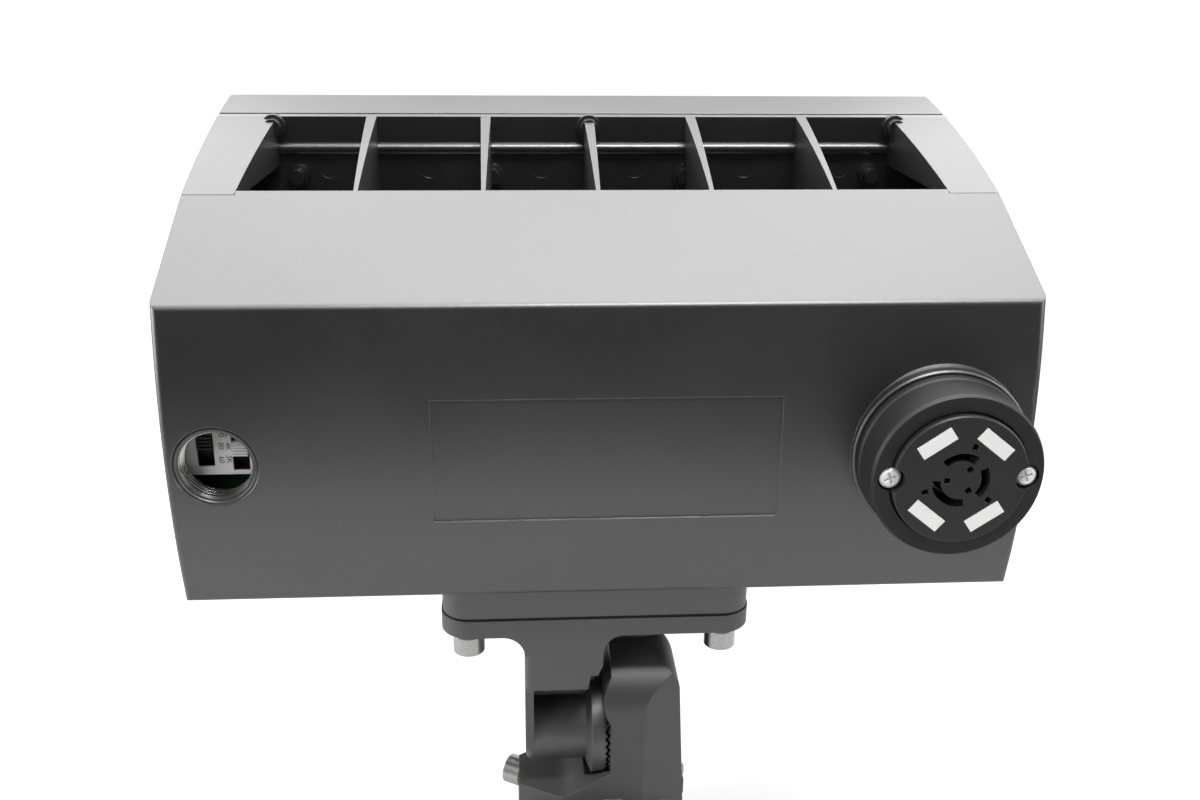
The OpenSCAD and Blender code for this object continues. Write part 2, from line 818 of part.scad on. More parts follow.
module fin(x) {
    intersection() {
        linear_extrude(height = big, center = true) translate([x, 0]) polygon([
            [-fin_root / 2, plate_y], [-fin_tip / 2, seam_y + lip + seam_gap],
            [fin_tip / 2, seam_y + lip + seam_gap], [fin_root / 2, plate_y]]);
        crown_slice(0, seam_y, gap_y);
    }
}

module fin_row() {
    for (x = [-fin_outer_x, -fin_inner_x, 0, fin_inner_x, fin_outer_x]) fin(x);
}

// The outline of one cheek in plan, from its outer face to its inner face
module cheek_plan(inset_out, inset_in) {
    polygon([[half_w - inset_out, seam_y + seam_gap], [half_w - inset_out, plate_y],
        [half_w - cheek_root_w + inset_in, plate_y],
        [half_w - cheek_tip_w + inset_in, seam_y + seam_gap]]);
}

// One hollow cheek: a side wall, with a cap at the top and at the bottom
module cheek() {
    skirt_z = half_seam - 2.5;
    side = wall + 0.5;
    difference() {
        intersection() {
            linear_extrude(height = big, center = true) cheek_plan(0, 0);
            crown_slice(0, seam_y, gap_y);
        }
        difference() {
            linear_extrude(height = big, center = true) cheek_plan(side, wall - 0.5);
            for (s = [-1, 1]) scale([1, 1, s]) difference() {
                block([0, 0, skirt_z - 20], [half_w, gap_y, big]);
                crown_slice(side, 0, gap_y + 1);
            }
        }
        block([0, seam_y - 1, -skirt_z], [half_w - side, plate_y + 1, skirt_z]);
    }
}

// A blind boss on the base plate's back: a low collar and a narrower tip
module blind_boss(p, hole_r) {
    rod_y(p[0], p[1], plate_y - boss_h, plate_y + 1, hole_r + boss_wall);
    rod_y(p[0], p[1], plate_y - boss_h * 0.4, plate_y + 1, hole_r + 2.2 * boss_wall);
}

module sink_holes() {
    for (p = frame_screw_spots) rod_y(p[0], p[1], plate_y - boss_h + boss_bore, board_y + 1, m5[0]);
    for (p = board_screw_spots) rod_y(p[0], p[1], plate_y - boss_h + boss_bore, board_y + 1, m4[0]);
}

module heat_sink() {
    color([0.45, 0.45, 0.46]) head_space() difference() {
        union() {
            crown_slice(0, plate_y, gap_y);
            crown_slice(flange_w, gap_y - 0.5, board_y);
            for (p = frame_screw_spots) blind_boss(p, m5[0]);
            for (p = board_screw_spots) blind_boss(p, m4[0]);
            for (s = [-1, 1]) rotate([0, 90, 0]) translate([-s * rib_z, plate_y, 0])
                cylinder(h = body_w - 2 * cheek_root_w + 2, r = rib_r, center = true);
        }
        fin_row();
        for (s = [-1, 1]) scale([s, 1, 1]) cheek();
        sink_holes();
        for (s = [-1, 1], t = [-1, 1], x = eject_x)
            rod_y(s * x, t * eject_z, plate_y - 1, plate_y + eject_t, eject_r);
        for (x = [-1, 1], z = [-1, 1])
            rod_y(x * corner_x, z * corner_z, plate_y - 1, board_y + 1, m5[0] + seat);
    }
}

module fins() {
    color([0.5, 0.5, 0.51]) head_space() difference() {
        fin_row();
        sink_holes();
    }
}

module left_cheek() {
    color([0.48, 0.48, 0.49]) head_space() difference() {
        scale([-1, 1, 1]) cheek();
        sink_holes();
    }
}

module right_cheek() {
    color([0.48, 0.48, 0.49]) head_space() difference() {
        cheek();
        sink_holes();
    }
}

module sink_pillars() {
    color([0.43, 0.43, 0.44]) head_space() for (x = [-1, 1], z = [-1, 1]) difference() {
        rod_y(x * corner_x, z * corner_z, seam_y, plate_y, pillar_r);
        rod_y(x * corner_x, z * corner_z, seam_y - 1, plate_y + 1, m5[0] + seat);
    }
}

module housing_bolts() {
    color([0.75, 0.75, 0.74]) head_space() for (x = [-1, 1], z = [-1, 1])
        front_screw(x * corner_x, z * corner_z, board_y, m5, board_y - seam_y + 13);
}

// Light source

module led_board() {
    color([0.92, 0.92, 0.9]) head_space() difference() {
        translate([0, board_y, 0]) plate_xz(board_w, board_h, 3, 0, board_t);
        for (p = board_screw_spots)
            rod_y(p[0], p[1], board_y - 1, board_y + board_t + 1, m4[0] + fit);
    }
}

// Calls its child at each of the six fields
module fields() {
    for (x = [-1, 0, 1], z = [-0.5, 0.5])
        translate([x * field_pitch[0], 0, z * field_pitch[1]]) children();
}

// Calls its child at each of a field's nine places
module nine() {
    for (i = [-1 : 1], j = [-1 : 1]) translate([i * led_pitch[0], 0, j * led_pitch[1]]) children();
}

module leds() {
    color([0.95, 0.85, 0.35]) head_space() fields() nine()
        block([-led_size / 2, board_y + board_t, -led_size / 2],
            [led_size / 2, board_y + board_t + led_t, led_size / 2]);
}

module optic_plates() {
    back = board_y + board_t + optic_gap;
    color([0.85, 0.9, 0.92, 0.6]) head_space() fields() {
        plate_xz(field_size[0], field_size[1], 3, back, back + optic_t);
        for (x = [-1, 1], z = [-1, 1])
            rod_y(x * optic_pin[0], z * optic_pin[1], board_y + board_t, back + 1, 1.5);
        nine() intersection() {
            translate([0, back - 2, 0]) sphere(r = dome_r);
            block([-dome_r, back + 1, -dome_r], [dome_r, back + dome_r, dome_r]);
        }
    }
}

module board_screws() {
    color([0.75, 0.75, 0.74]) head_space() for (p = board_screw_spots)
        front_screw(p[0], p[1], board_y + board_t, m4, 10);
}

// Front frame and lens

module frame_gasket() {
    color([0.04, 0.04, 0.04]) head_space() difference() {
        crown_slice(0.8, gap_y, frame_y);
        crown_slice(flange_w - seat, gap_y - 1, frame_y + 1);
        for (p = frame_screw_spots) rod_y(p[0], p[1], gap_y - 1, frame_y + 1, m5[0] + fit);
    }
}

// The frame's outer form: crowned top and bottom, rounded round the front edge
module frame_outer() {
    intersection() {
        crown_slice(0, frame_y, front_y);
        along_x(body_w) {
            translate([frame_y, -half_front])
                square([frame_depth - front_edge_r, front_h]);
            translate([frame_y, -half_front + front_edge_r])
                square([frame_depth, front_h - 2 * front_edge_r]);
            for (s = [-1, 1])
                translate([front_y - front_edge_r, s * (half_front - front_edge_r)])
                    circle(r = front_edge_r);
        }
        linear_extrude(height = big, center = true) {
            translate([-half_w, frame_y]) square([body_w, frame_depth - front_edge_r]);
            translate([-half_w + front_edge_r, frame_y])
                square([body_w - 2 * front_edge_r, frame_depth]);
            for (s = [-1, 1])
                translate([s * (half_w - front_edge_r), front_y - front_edge_r])
                    circle(r = front_edge_r);
        }
    }
}

module front_frame() {
    color([0.45, 0.45, 0.46]) head_space() difference() {
        union() {
            difference() {
                frame_outer();
                crown_slice(frame_wall, frame_y - 1, pocket_y);
            }
            intersection() {
                frame_outer();
                union() {
                    for (p = frame_screw_spots)
                        rod_y(p[0], p[1], frame_y, pocket_y + 1, m5[0] + 2.9);
                    for (p = clip_spots)
                        rod_y(p[0], p[1], lens_back, pocket_y + 1, m3[0] + 2.1);
                }
            }
        }
        plate_xz(window_w, window_h, window_r, frame_y, front_y + 1);
        plate_xz(window_w + 2 * rebate_w, window_h + 2 * rebate_w, window_r + 2,
            front_y - rebate_t, front_y + 1);
        for (p = frame_screw_spots) {
            rod_y(p[0], p[1], frame_y - 1, front_y + 1, m5[0] + fit);
            rod_y(p[0], p[1], front_y - m5[2], front_y + 1, m5[1] + 0.5);
        }
        for (p = clip_spots) rod_y(p[0], p[1], lens_back - 1, pocket_y, m3[0]);
    }
}

module frame_screws() {
    color([0.8, 0.8, 0.79]) head_space() for (p = frame_screw_spots)
        front_screw(p[0], p[1], front_y - m5[2], m5, front_y - m5[2] - plate_y + 3);
}

module lens() {
    color([0.8, 0.88, 0.9, 0.35]) head_space() plate_xz(window_w + 2 * lens_lap,
        window_h + 2 * lens_lap, window_r + 2, lens_back, lens_y);
}

module lens_gasket() {
    lap = lens_lap - 0.5;
    color([0.1, 0.1, 0.1]) head_space() difference() {
        plate_xz(window_w + 2 * lap, window_h + 2 * lap, window_r + 2, lens_y, pocket_y);
        plate_xz(window_w + 1, window_h + 1, window_r, lens_y - 1, pocket_y + 1);
    }
}

module lens_clips() {
    color([0.7, 0.7, 0.7]) head_space() for (p = clip_spots)
        translate([p[0], 0, p[1]]) rotate([0, p[2], 0]) difference() {
            block([0.5 - clip_out, lens_back - clip_t, -5], [4.5, lens_back, 5]);
            rod_y(0, 0, lens_back - 3, lens_back + 1, m3[0] + fit);
        }
}

module clip_screws() {
    color([0.75, 0.75, 0.74]) head_space() for (p = clip_spots)
        translate([p[0], lens_back - clip_t, p[1]]) rotate([90, 0, 0]) cap_screw(m3, 6);
}

// Bracket and knuckle

module plate_outline() {
    round_rect(plate_w, plate_l, 12);
}

module bracket_gasket() {
    color([0.03, 0.03, 0.03]) pivot_space() difference() {
        translate([plate_x, 0, plate_top]) linear_extrude(height = bracket_gasket_t)
            round_rect(plate_w - 0.6, plate_l - 0.6, 11.7);
        for (p = bracket_spots)
            translate([p[0], p[1], plate_top - 1]) cylinder(h = 4, r = m8[0] + fit);
        translate([wire_x, wire_y, plate_top - 1]) cylinder(h = 4, r = wire_r);
    }
}

// A ring of radial teeth on the YZ plane, with crests towards +X
module tooth_ring(phase) {
    steps = 2 * tooth_count;
    root = 0.6;
    function spot(i, r, lift) = let (a = i * 360 / steps + phase)
        [lift, r * cos(a), r * sin(a)];
    function crest(i, r) = (i % 2 == 0) ? tooth_h * r / tooth_out_r : 0;
    points = concat(
        [for (i = [0 : steps - 1]) spot(i, tooth_in_r, -root)],
        [for (i = [0 : steps - 1]) spot(i, tooth_out_r, -root)],
        [for (i = [0 : steps - 1]) spot(i, tooth_in_r, crest(i, tooth_in_r))],
        [for (i = [0 : steps - 1]) spot(i, tooth_out_r, crest(i, tooth_out_r))]);
    function at(row, i) = row * steps + (i % steps);
    faces = [for (i = [0 : steps - 1]) each [
        [at(0, i), at(1, i), at(1, i + 1)], [at(0, i), at(1, i + 1), at(0, i + 1)],
        [at(2, i), at(3, i + 1), at(3, i)], [at(2, i), at(2, i + 1), at(3, i + 1)],
        [at(1, i), at(3, i), at(3, i + 1)], [at(1, i), at(3, i + 1), at(1, i + 1)],
        [at(0, i), at(2, i + 1), at(2, i)], [at(0, i), at(0, i + 1), at(2, i + 1)]]];
    polyhedron(points, faces);
}

// The stem from behind, with its fillets under the plate
module stem_profile() {
    polygon([[stem_x1, stem_bottom], [barrel_x2, stem_bottom], [barrel_x2 + 1, stem_notch],
        [stem_x2 - 2, stem_notch], [stem_x2, stem_notch + 5], [stem_x2, plate_rise + 1],
        [stem_x1, plate_rise + 1]]);
    for (s = [[stem_x1, -1], [stem_x2, 1]]) difference() {
        translate([s[0] + (s[1] < 0 ? -stem_fillet : 0), plate_rise - stem_fillet])
            square([stem_fillet, stem_fillet + 1]);
        translate([s[0] + s[1] * stem_fillet, plate_rise - stem_fillet]) circle(r = stem_fillet);
    }
}

// Where the straight side from the stem meets the round foot of the end wall
foot_angle = atan2(stem_bottom, disc_r) - acos(foot_r / norm([disc_r, stem_bottom]));
foot_spot = foot_r * [cos(foot_angle), sin(foot_angle)];

// The wall at the barrel's outer end, from the side
module end_wall_outline() {
    polygon([[-disc_r, stem_bottom + 1], [-disc_r, stem_bottom], [-foot_spot[0], foot_spot[1]],
        foot_spot, [disc_r, stem_bottom], [disc_r, stem_bottom + 1]]);
}

// What a rounded edge takes off the corner of two faces
module corner_2d() {
    difference() {
        translate([-1, -1]) square(arm_edge_r + 1);
        translate([arm_edge_r, arm_edge_r]) circle(r = arm_edge_r);
    }
}

// The rounding of the arm's outer edges: up the stem, and round the end wall's foot
module arm_edges() {
    for (s = [-1, 1]) scale([1, s, 1]) translate([stem_x1, -disc_r, stem_bottom])
        linear_extrude(height = plate_rise - stem_fillet - stem_bottom) corner_2d();
    intersection() {
        rotate([0, 90, 0]) rotate_extrude() translate([barrel_r, stem_x1])
            scale([-1, 1]) corner_2d();
        block([-60, -60, -60], [60, 60, foot_spot[1]]);
    }
}

module bracket_arm() {
    color([0.34, 0.34, 0.35]) pivot_space() difference() {
        union() {
            translate([plate_x, 0, plate_rise]) linear_extrude(height = plate_t) plate_outline();
            difference() {
                union() {
                    translate([0, disc_r, 0]) rotate([90, 0, 0])
                        linear_extrude(height = 2 * disc_r) stem_profile();
                    translate([stem_x1, 0, 0]) rotate([90, 0, 90])
                        linear_extrude(height = barrel_x1 - stem_x1) end_wall_outline();
                    rod_x(stem_x1, barrel_x2, barrel_r);
                }
                arm_edges();
            }
            translate([barrel_x2, 0, 0]) rotate([0, 90, 0])
                cylinder(h = disc_bevel, r1 = barrel_r + 1, r2 = disc_r);
            rod_x(barrel_x2 + disc_bevel, disc_x, disc_r);
            translate([disc_x, 0, 0]) tooth_ring(0);
            block([barrel_x1 - 0.5, web_y[0], 8], [barrel_x2, web_y[1], stem_bottom + 1]);
            block([barrel_x2 - 0.5, web_y[0], 16], [stem_x2 - 2, web_y[1], stem_notch + 1]);
        }
        rod_x(stem_x1 - 1, disc_x + 3, pivot_r + pivot_clear);
        rod_x(stem_x1 - 1, barrel_seat_x, nut_pocket_r);
        rod_x(barrel_x2 - 2, disc_x + 3, hollow_r);
        translate([wire_x, wire_y, 8]) cylinder(h = plate_top, r = wire_r);
        for (p = bracket_spots)
            translate([p[0], p[1], plate_rise - 1]) cylinder(h = plate_t + 2, r = m8[0] + 0.5);
    }
}

// Calls its child at each bracket screw, with Z pointing down from the plate's underside
module under_plate() {
    pivot_space() for (p = bracket_spots)
        translate([p[0], p[1], plate_rise]) rotate([180, 0, 0]) children();
}

flat_t = 1.6;
spring_t = 2.1;

module bracket_flat_washers() {
    color([0.8, 0.8, 0.79]) under_plate() difference() {
        cylinder(h = flat_t, r = 8);
        translate([0, 0, -1]) cylinder(h = 4, r = m8[0] + fit);
    }
}

module bracket_spring_washers() {
    color([0.78, 0.78, 0.77]) under_plate() translate([0, 0, flat_t]) difference() {
        cylinder(h = spring_t, r = 6.4);
        translate([0, 0, -1]) cylinder(h = 5, r = m8[0] + fit);
        rotate([0, 0, 40]) translate([3, -0.3, -1]) rotate([25, 0, 0]) cube([5, 0.6, 6]);
    }
}

module bracket_screws() {
    color([0.8, 0.8, 0.79]) under_plate() translate([0, 0, flat_t + spring_t])
        cap_screw(m8, plate_t + flat_t + spring_t + 12);
}

module knuckle_bolt() {
    color([0.78, 0.78, 0.77]) pivot_space() {
        rod_x(nut_x - 0.4, head_seat_x + 1, pivot_r);
        difference() {
            rod_x(head_seat_x, head_seat_x + m12[2] - 2, m12[1]);
            translate([head_seat_x + 5, 0, 0]) rotate([0, 90, 0]) cylinder(h = 20, r = 5.2, $fn = 6);
        }
    }
}

module knuckle_washer() {
    color([0.78, 0.78, 0.77]) pivot_space() difference() {
        rod_x(barrel_seat_x - washer_t, barrel_seat_x - 0.1, nut_pocket_r - 0.5);
        rod_x(-big / 2, 0, pivot_r + fit);
    }
}

module knuckle_nut() {
    color([0.78, 0.78, 0.77]) pivot_space() difference() {
        translate([nut_x, 0, 0]) rotate([0, 90, 0]) cylinder(h = nut_t, r = 10.3, $fn = 6);
        rod_x(-big / 2, 0, pivot_r + fit);
    }
}

// Slip fitter

// The block's outline in plan: flat left side, a nose towards the back, chamfered right side
module block_plan() {
    polygon([[face_left, -12], [nose_x, -cheek_half], [flat_x, -cheek_half],
        [side_x, -side_half], [side_x, side_half], [flat_x, cheek_half], [-12, cheek_half],
        [face_left, 8]]);
}

// The cheek from the side: a round head on a straight body
module cheek_side() {
    translate([0, cheek_rise - cheek_half]) circle(r = cheek_half, $fn = 96);
    translate([-cheek_half, -cheek_foot])
        square([2 * cheek_half, cheek_rise - cheek_half + cheek_foot]);
}

// The cheek from behind: a rounded shoulder over a flank that leans out
module cheek_back() {
    top = cheek_rise - cheek_round;
    x = side_x - 3.5 - cheek_round;
    translate([cheek_x, -cheek_foot]) square([x - cheek_x, cheek_rise + cheek_foot]);
    translate([x, top]) circle(r = cheek_round, $fn = 96);
    polygon([[cheek_x, top], [x + cheek_round, top], [side_x, -cheek_foot + 8],
        [side_x - 3, -cheek_foot], [cheek_x, -cheek_foot]]);
}

// The deck from behind: level on the left, with a ramp up to the cheek
module deck_back() {
    run = ramp_fillet * tan(ramp_angle / 2);
    bend = [nose_x, -deck_drop];
    ramp = [cos(ramp_angle), sin(ramp_angle)];
    polygon([[-60, -60], [-60, -deck_drop], bend, bend + 45 * ramp, [60, -60]]);
    difference() {
        polygon([bend - [run, 0], bend, bend + run * ramp, bend + [-run, ramp_fillet]]);
        translate(bend + [-run, ramp_fillet]) circle(r = ramp_fillet, $fn = 96);
    }
}

module slip_fitter() {
    color([0.34, 0.34, 0.35]) pivot_space() {
        slip_fitter_body();
        translate([cheek_x, 0, 0]) mirror([1, 0, 0]) tooth_ring(180 / tooth_count);
    }
}

module slip_fitter_body() {
    difference() {
        union() {
            intersection() {
                translate([0, 0, -cheek_foot]) linear_extrude(height = 2 * cheek_foot) block_plan();
                rotate([90, 0, 90]) linear_extrude(height = side_x + 1) cheek_side();
                rotate([90, 0, 0]) linear_extrude(height = 100, center = true) cheek_back();
            }
            intersection() {
                translate([0, 0, -collar_top_drop])
                    linear_extrude(height = collar_top_drop) block_plan();
                rotate([90, 0, 0]) linear_extrude(height = 100, center = true) deck_back();
            }
            translate([0, 0, -collar_top_drop])
                cylinder(h = collar_top_drop - flare_drop, r1 = collar_r, r2 = flare_r, $fn = 96);
            translate([0, 0, -axis_h])
                cylinder(h = axis_h - collar_top_drop, r = collar_r, $fn = 96);
            translate([0, 0, -axis_h]) cylinder(h = 8, r = collar_r + 2.5, $fn = 96);
        }
        rod_x(barrel_x2 - 0.8, cheek_x, disc_r + 0.9);
        rod_x(-60, barrel_x2 - 0.5, barrel_r + 1.2);
        rod_x(cheek_x - 3, cheek_x + 6, hollow_r);
        rod_x(0, 60, pivot_r + pivot_clear);
        rod_x(head_seat_x, 60, m12[1] + 0.5);
        translate([cheek_x + 4.5, 0, -ceiling_drop - 1])
            cylinder(h = ceiling_drop - 6, r = wire_r);
        translate([0, 0, -axis_h - 1]) cylinder(h = axis_h - ceiling_drop + 1, r = socket_r);
        for (a = tenon_angles, z = [-upper_screw_drop, lower_screw_z - axis_h])
            rotate([0, 0, a]) translate([0, 0, z]) rod_x(socket_r - 5, 50, m8[0]);
    }
}

module tenon_screws() {
    color([0.8, 0.8, 0.79]) pivot_space()
        for (a = tenon_angles, z = [-upper_screw_drop, lower_screw_z - axis_h])
            rotate([0, 0, a]) translate([collar_r + tenon_stand, 0, z]) rotate([0, 90, 0])
                cap_screw(m8, collar_r + tenon_stand - socket_r - seat);
}

slip_fitter();
tenon_screws();
knuckle_bolt();
knuckle_washer();
knuckle_nut();
bracket_arm();
bracket_gasket();
bracket_screws();
bracket_spring_washers();
bracket_flat_washers();
driver_housing();
cover_gasket();
driver_cover();
cover_screws();
driver();
driver_screws();
selector_board();
selector_screws();
selector_panel();
power_switch();
colour_switch();
power_slider();
colour_slider();
receptacle_gasket();
receptacle_body();
receptacle_face();
receptacle_screws();
dimming_pads();
line_contacts();
heat_sink();
fins();
left_cheek();
right_cheek();
sink_pillars();
housing_bolts();
frame_gasket();
front_frame();
frame_screws();
lens();
lens_gasket();
lens_clips();
clip_screws();
led_board();
leds();
optic_plates();
board_screws();
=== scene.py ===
# %% [markdown]
# # Dressing an outdoor flood light
# The model that we load is a powder-coated flood light on a slip fitter, seen from behind.
# Its castings, screws, gaskets, glass and light source are already made at their real size.
# In this lesson we light it, photograph it, and give every piece the finish that it has on
# the real object. A few small things that are quicker to make as meshes are added on the way.

# %% Load the frame
import math

import bmesh
import bpy
from mathutils import Matrix, Vector


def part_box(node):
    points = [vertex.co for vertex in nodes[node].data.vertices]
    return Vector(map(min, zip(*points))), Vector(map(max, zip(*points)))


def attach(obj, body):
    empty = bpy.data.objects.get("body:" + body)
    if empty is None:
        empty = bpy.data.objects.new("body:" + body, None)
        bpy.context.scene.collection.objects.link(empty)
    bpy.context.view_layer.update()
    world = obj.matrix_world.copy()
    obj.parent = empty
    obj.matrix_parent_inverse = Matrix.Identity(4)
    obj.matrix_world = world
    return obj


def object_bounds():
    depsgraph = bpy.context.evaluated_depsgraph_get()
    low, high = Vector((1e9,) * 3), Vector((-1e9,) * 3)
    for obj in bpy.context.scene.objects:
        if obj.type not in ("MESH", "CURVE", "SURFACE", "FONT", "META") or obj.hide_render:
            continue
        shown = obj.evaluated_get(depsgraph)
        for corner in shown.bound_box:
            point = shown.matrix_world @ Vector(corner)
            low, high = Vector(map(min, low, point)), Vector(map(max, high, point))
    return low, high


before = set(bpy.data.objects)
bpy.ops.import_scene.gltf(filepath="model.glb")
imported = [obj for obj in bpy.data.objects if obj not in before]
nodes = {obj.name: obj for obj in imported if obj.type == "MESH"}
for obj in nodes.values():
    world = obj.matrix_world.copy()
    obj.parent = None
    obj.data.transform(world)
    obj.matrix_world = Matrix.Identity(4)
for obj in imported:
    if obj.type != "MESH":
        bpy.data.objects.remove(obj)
cad_low, cad_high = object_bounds()
scene = bpy.context.scene
mm = 0.001
print("loaded", len(nodes), "pieces, the whole is", [round(v, 3) for v in cad_high - cad_low], "m")

# %% [markdown]
# ## The camera
# A photograph fixes its own viewpoint: the vanishing edges of the housing say where the lens
# stood and how long it was. We write the camera as a place, three directions and a focal
# length, because those can be checked one by one. The lens looks down by a little over twenty
# degrees and is about half a metre away, so the near edges look clearly larger than far ones.

# %% Place the camera
CAMERA_PLACE = Vector((-32.99, -460.54, 444.67)) * mm
CAMERA_RIGHT = Vector((0.99776, -0.06584, 0.01186))
CAMERA_FORWARD = Vector((0.06558, 0.92741, -0.36826))
PHOTO_WIDTH = 1200
FOCAL_PIXELS = 1250
SENSOR_WIDTH = 36

camera_data = bpy.data.cameras.new("photo_camera")
camera_data.sensor_width = SENSOR_WIDTH
camera_data.lens = SENSOR_WIDTH * FOCAL_PIXELS / PHOTO_WIDTH
camera_data.clip_start = 0.01
camera_data.clip_end = 50
camera = bpy.data.objects.new("photo_camera", camera_data)
scene.collection.objects.link(camera)
camera_up = CAMERA_RIGHT.cross(CAMERA_FORWARD)
axes = Matrix((CAMERA_RIGHT, camera_up, -CAMERA_FORWARD)).transposed()
camera.matrix_world = Matrix.Translation(CAMERA_PLACE) @ axes.to_4x4()
scene.camera = camera
scene.view_settings.view_transform = "Standard"
print("camera", round(camera_data.lens, 1), "mm lens, pitch",
      round(math.degrees(math.asin(CAMERA_FORWARD.z)), 1), "degrees")

# %% [markdown]
# ## A few helpers for shader nodes
# Every finish below is built from nodes. Blender asks for each node, each setting and each
# link in a line of its own, which hides what a material does. So we first write short helpers
# that add a node with its inputs filled in, and that feed a socket with either a plain value
# or the output of another node. Numbers that are the same all over a surface are set on the
# Principled shader's own sockets when the material is started.

# %% Node helpers
def fill(node, inputs):
    """Sets a node's inputs by name, where an underscore stands for a space."""
    for name, value in inputs.items():
        node.inputs[name.replace("_", " ")].default_value = value


def add(tree, kind, label=None, **inputs):
    """Adds a node, labels it and sets the inputs that are given."""
    node = tree.nodes.new(kind)
    if label:
        node.label = label
    fill(node, inputs)
    return node


def wire(tree, source, target):
    """Links an output socket to an input socket."""
    tree.links.new(source, target)


def feed(tree, source, target):
    """Gives an input socket a plain value, or links it if the source is a socket too."""
    if isinstance(source, bpy.types.NodeSocket):
        wire(tree, source, target)
    else:
        target.default_value = source


def grey(value):
    """A neutral colour."""
    return (value, value, value, 1)


def new_material(name, **settings):
    """Starts a material and returns it with its tree and its Principled shader."""
    material = bpy.data.materials.new(name)
    material.use_nodes = True
    shader = material.node_tree.nodes["Principled BSDF"]
    fill(shader, settings)
    return material, material.node_tree, shader


print("helpers for nodes and materials ready")

# %% [markdown]
# ## Three kinds of node that we use again and again
# Most of a procedural finish is arithmetic: two masks are combined, a noise is brought into a
# range, and two colours are mixed by a mask. Each of these gets a helper that returns the
# output socket, so that one can be handed straight to the next, as in a formula.

# %% Arithmetic helpers
def calculate(tree, operation, first, second, label=None):
    """A math node between two values or sockets."""
    node = add(tree, "ShaderNodeMath", label)
    node.operation = operation
    feed(tree, first, node.inputs[0])
    feed(tree, second, node.inputs[1])
    return node.outputs["Value"]


def remap(tree, value, label=None, smooth=False, **limits):
    """A map range node, with a smooth step if asked for."""
    node = add(tree, "ShaderNodeMapRange", label, **limits)
    if smooth:
        node.interpolation_type = "SMOOTHSTEP"
    wire(tree, value, node.inputs["Value"])
    return node.outputs["Result"]


def blend(tree, share, first, second, label=None, kind="RGBA"):
    """A mix node, which goes from the first value to the second as the share grows."""
    node = add(tree, "ShaderNodeMix", label)
    node.data_type = kind
    feed(tree, share, node.inputs["Factor"])
    feed(tree, first, node.inputs["A"])
    feed(tree, second, node.inputs["B"])
    return node.outputs["Result"]


print("helpers for arithmetic ready")

# %% [markdown]
# ## The room
# The photograph was taken on white, with a dark room behind the camera. A grey world would
# give the casting a flat look, and a white one would wash out the rear panel, which faces the
# camera. Light Path lets us answer each kind of ray by itself. The lens sees white, and so
# does glass. Reflections see white beyond the object that fades to almost nothing behind the
# photographer. Surfaces that scatter light get only a weak fill, so the shadows stay deep.

# %% World
SWEEP_DARK_Y = -0.85
SWEEP_WHITE_Y = 0.1
DARK_ROOM_GLOW = 0.015
WEAK_FILL = 0.16


def build_world():
    """A white surround whose reflection fades towards the photographer's side of the room."""
    world = bpy.data.worlds.new("white_studio")
    world.use_nodes = True
    tree = world.node_tree
    background = tree.nodes["Background"]
    path = add(tree, "ShaderNodeLightPath").outputs
    direction = add(tree, "ShaderNodeTexCoord")
    axis = add(tree, "ShaderNodeSeparateXYZ")
    wire(tree, direction.outputs["Generated"], axis.inputs["Vector"])
    sweep = remap(tree, axis.outputs["Y"], "white beyond the object, dark behind the lens",
                  smooth=True, From_Min=SWEEP_DARK_Y, From_Max=SWEEP_WHITE_Y,
                  To_Min=DARK_ROOM_GLOW, To_Max=1)
    glossy = calculate(tree, "MULTIPLY", path["Is Glossy Ray"], sweep,
                       "reflections see the sweep")
    seen = calculate(tree, "MAXIMUM", path["Is Camera Ray"], path["Is Transmission Ray"],
                     "camera and transmission see white")
    white = calculate(tree, "MAXIMUM", seen, glossy)
    strength = blend(tree, path["Is Diffuse Ray"], white, WEAK_FILL,
                     "diffuse rays get the weak fill", kind="FLOAT")
    wire(tree, strength, background.inputs["Strength"])
    background.inputs["Color"].default_value = grey(1)
    scene.world = world
    return world


world = build_world()
print("world", world.name, "with", len(world.node_tree.nodes), "nodes")

# %% [markdown]
# ## The table
# The flood light stands on a pale table that runs on into white, so no horizon shows but the
# shadow does. One large disc is enough. Close to the object it is an ordinary pale surface.
# Farther out it turns dark for the light that it passes on, so it doesn't brighten the lower
# faces, while the lens still sees it glow white. Reflections find a faint glow of the near
# table only, which is what lifts the lower half of the rear panel.

# %% Floor finish
TABLE_REACH = 0.5
TABLE_FADE = 0.35
TABLE_TONE = 0.4
FAR_TONE = 0.03
TABLE_WHITE = 0.55
FAR_WHITE = 1.0
TABLE_MIRROR = 0.15


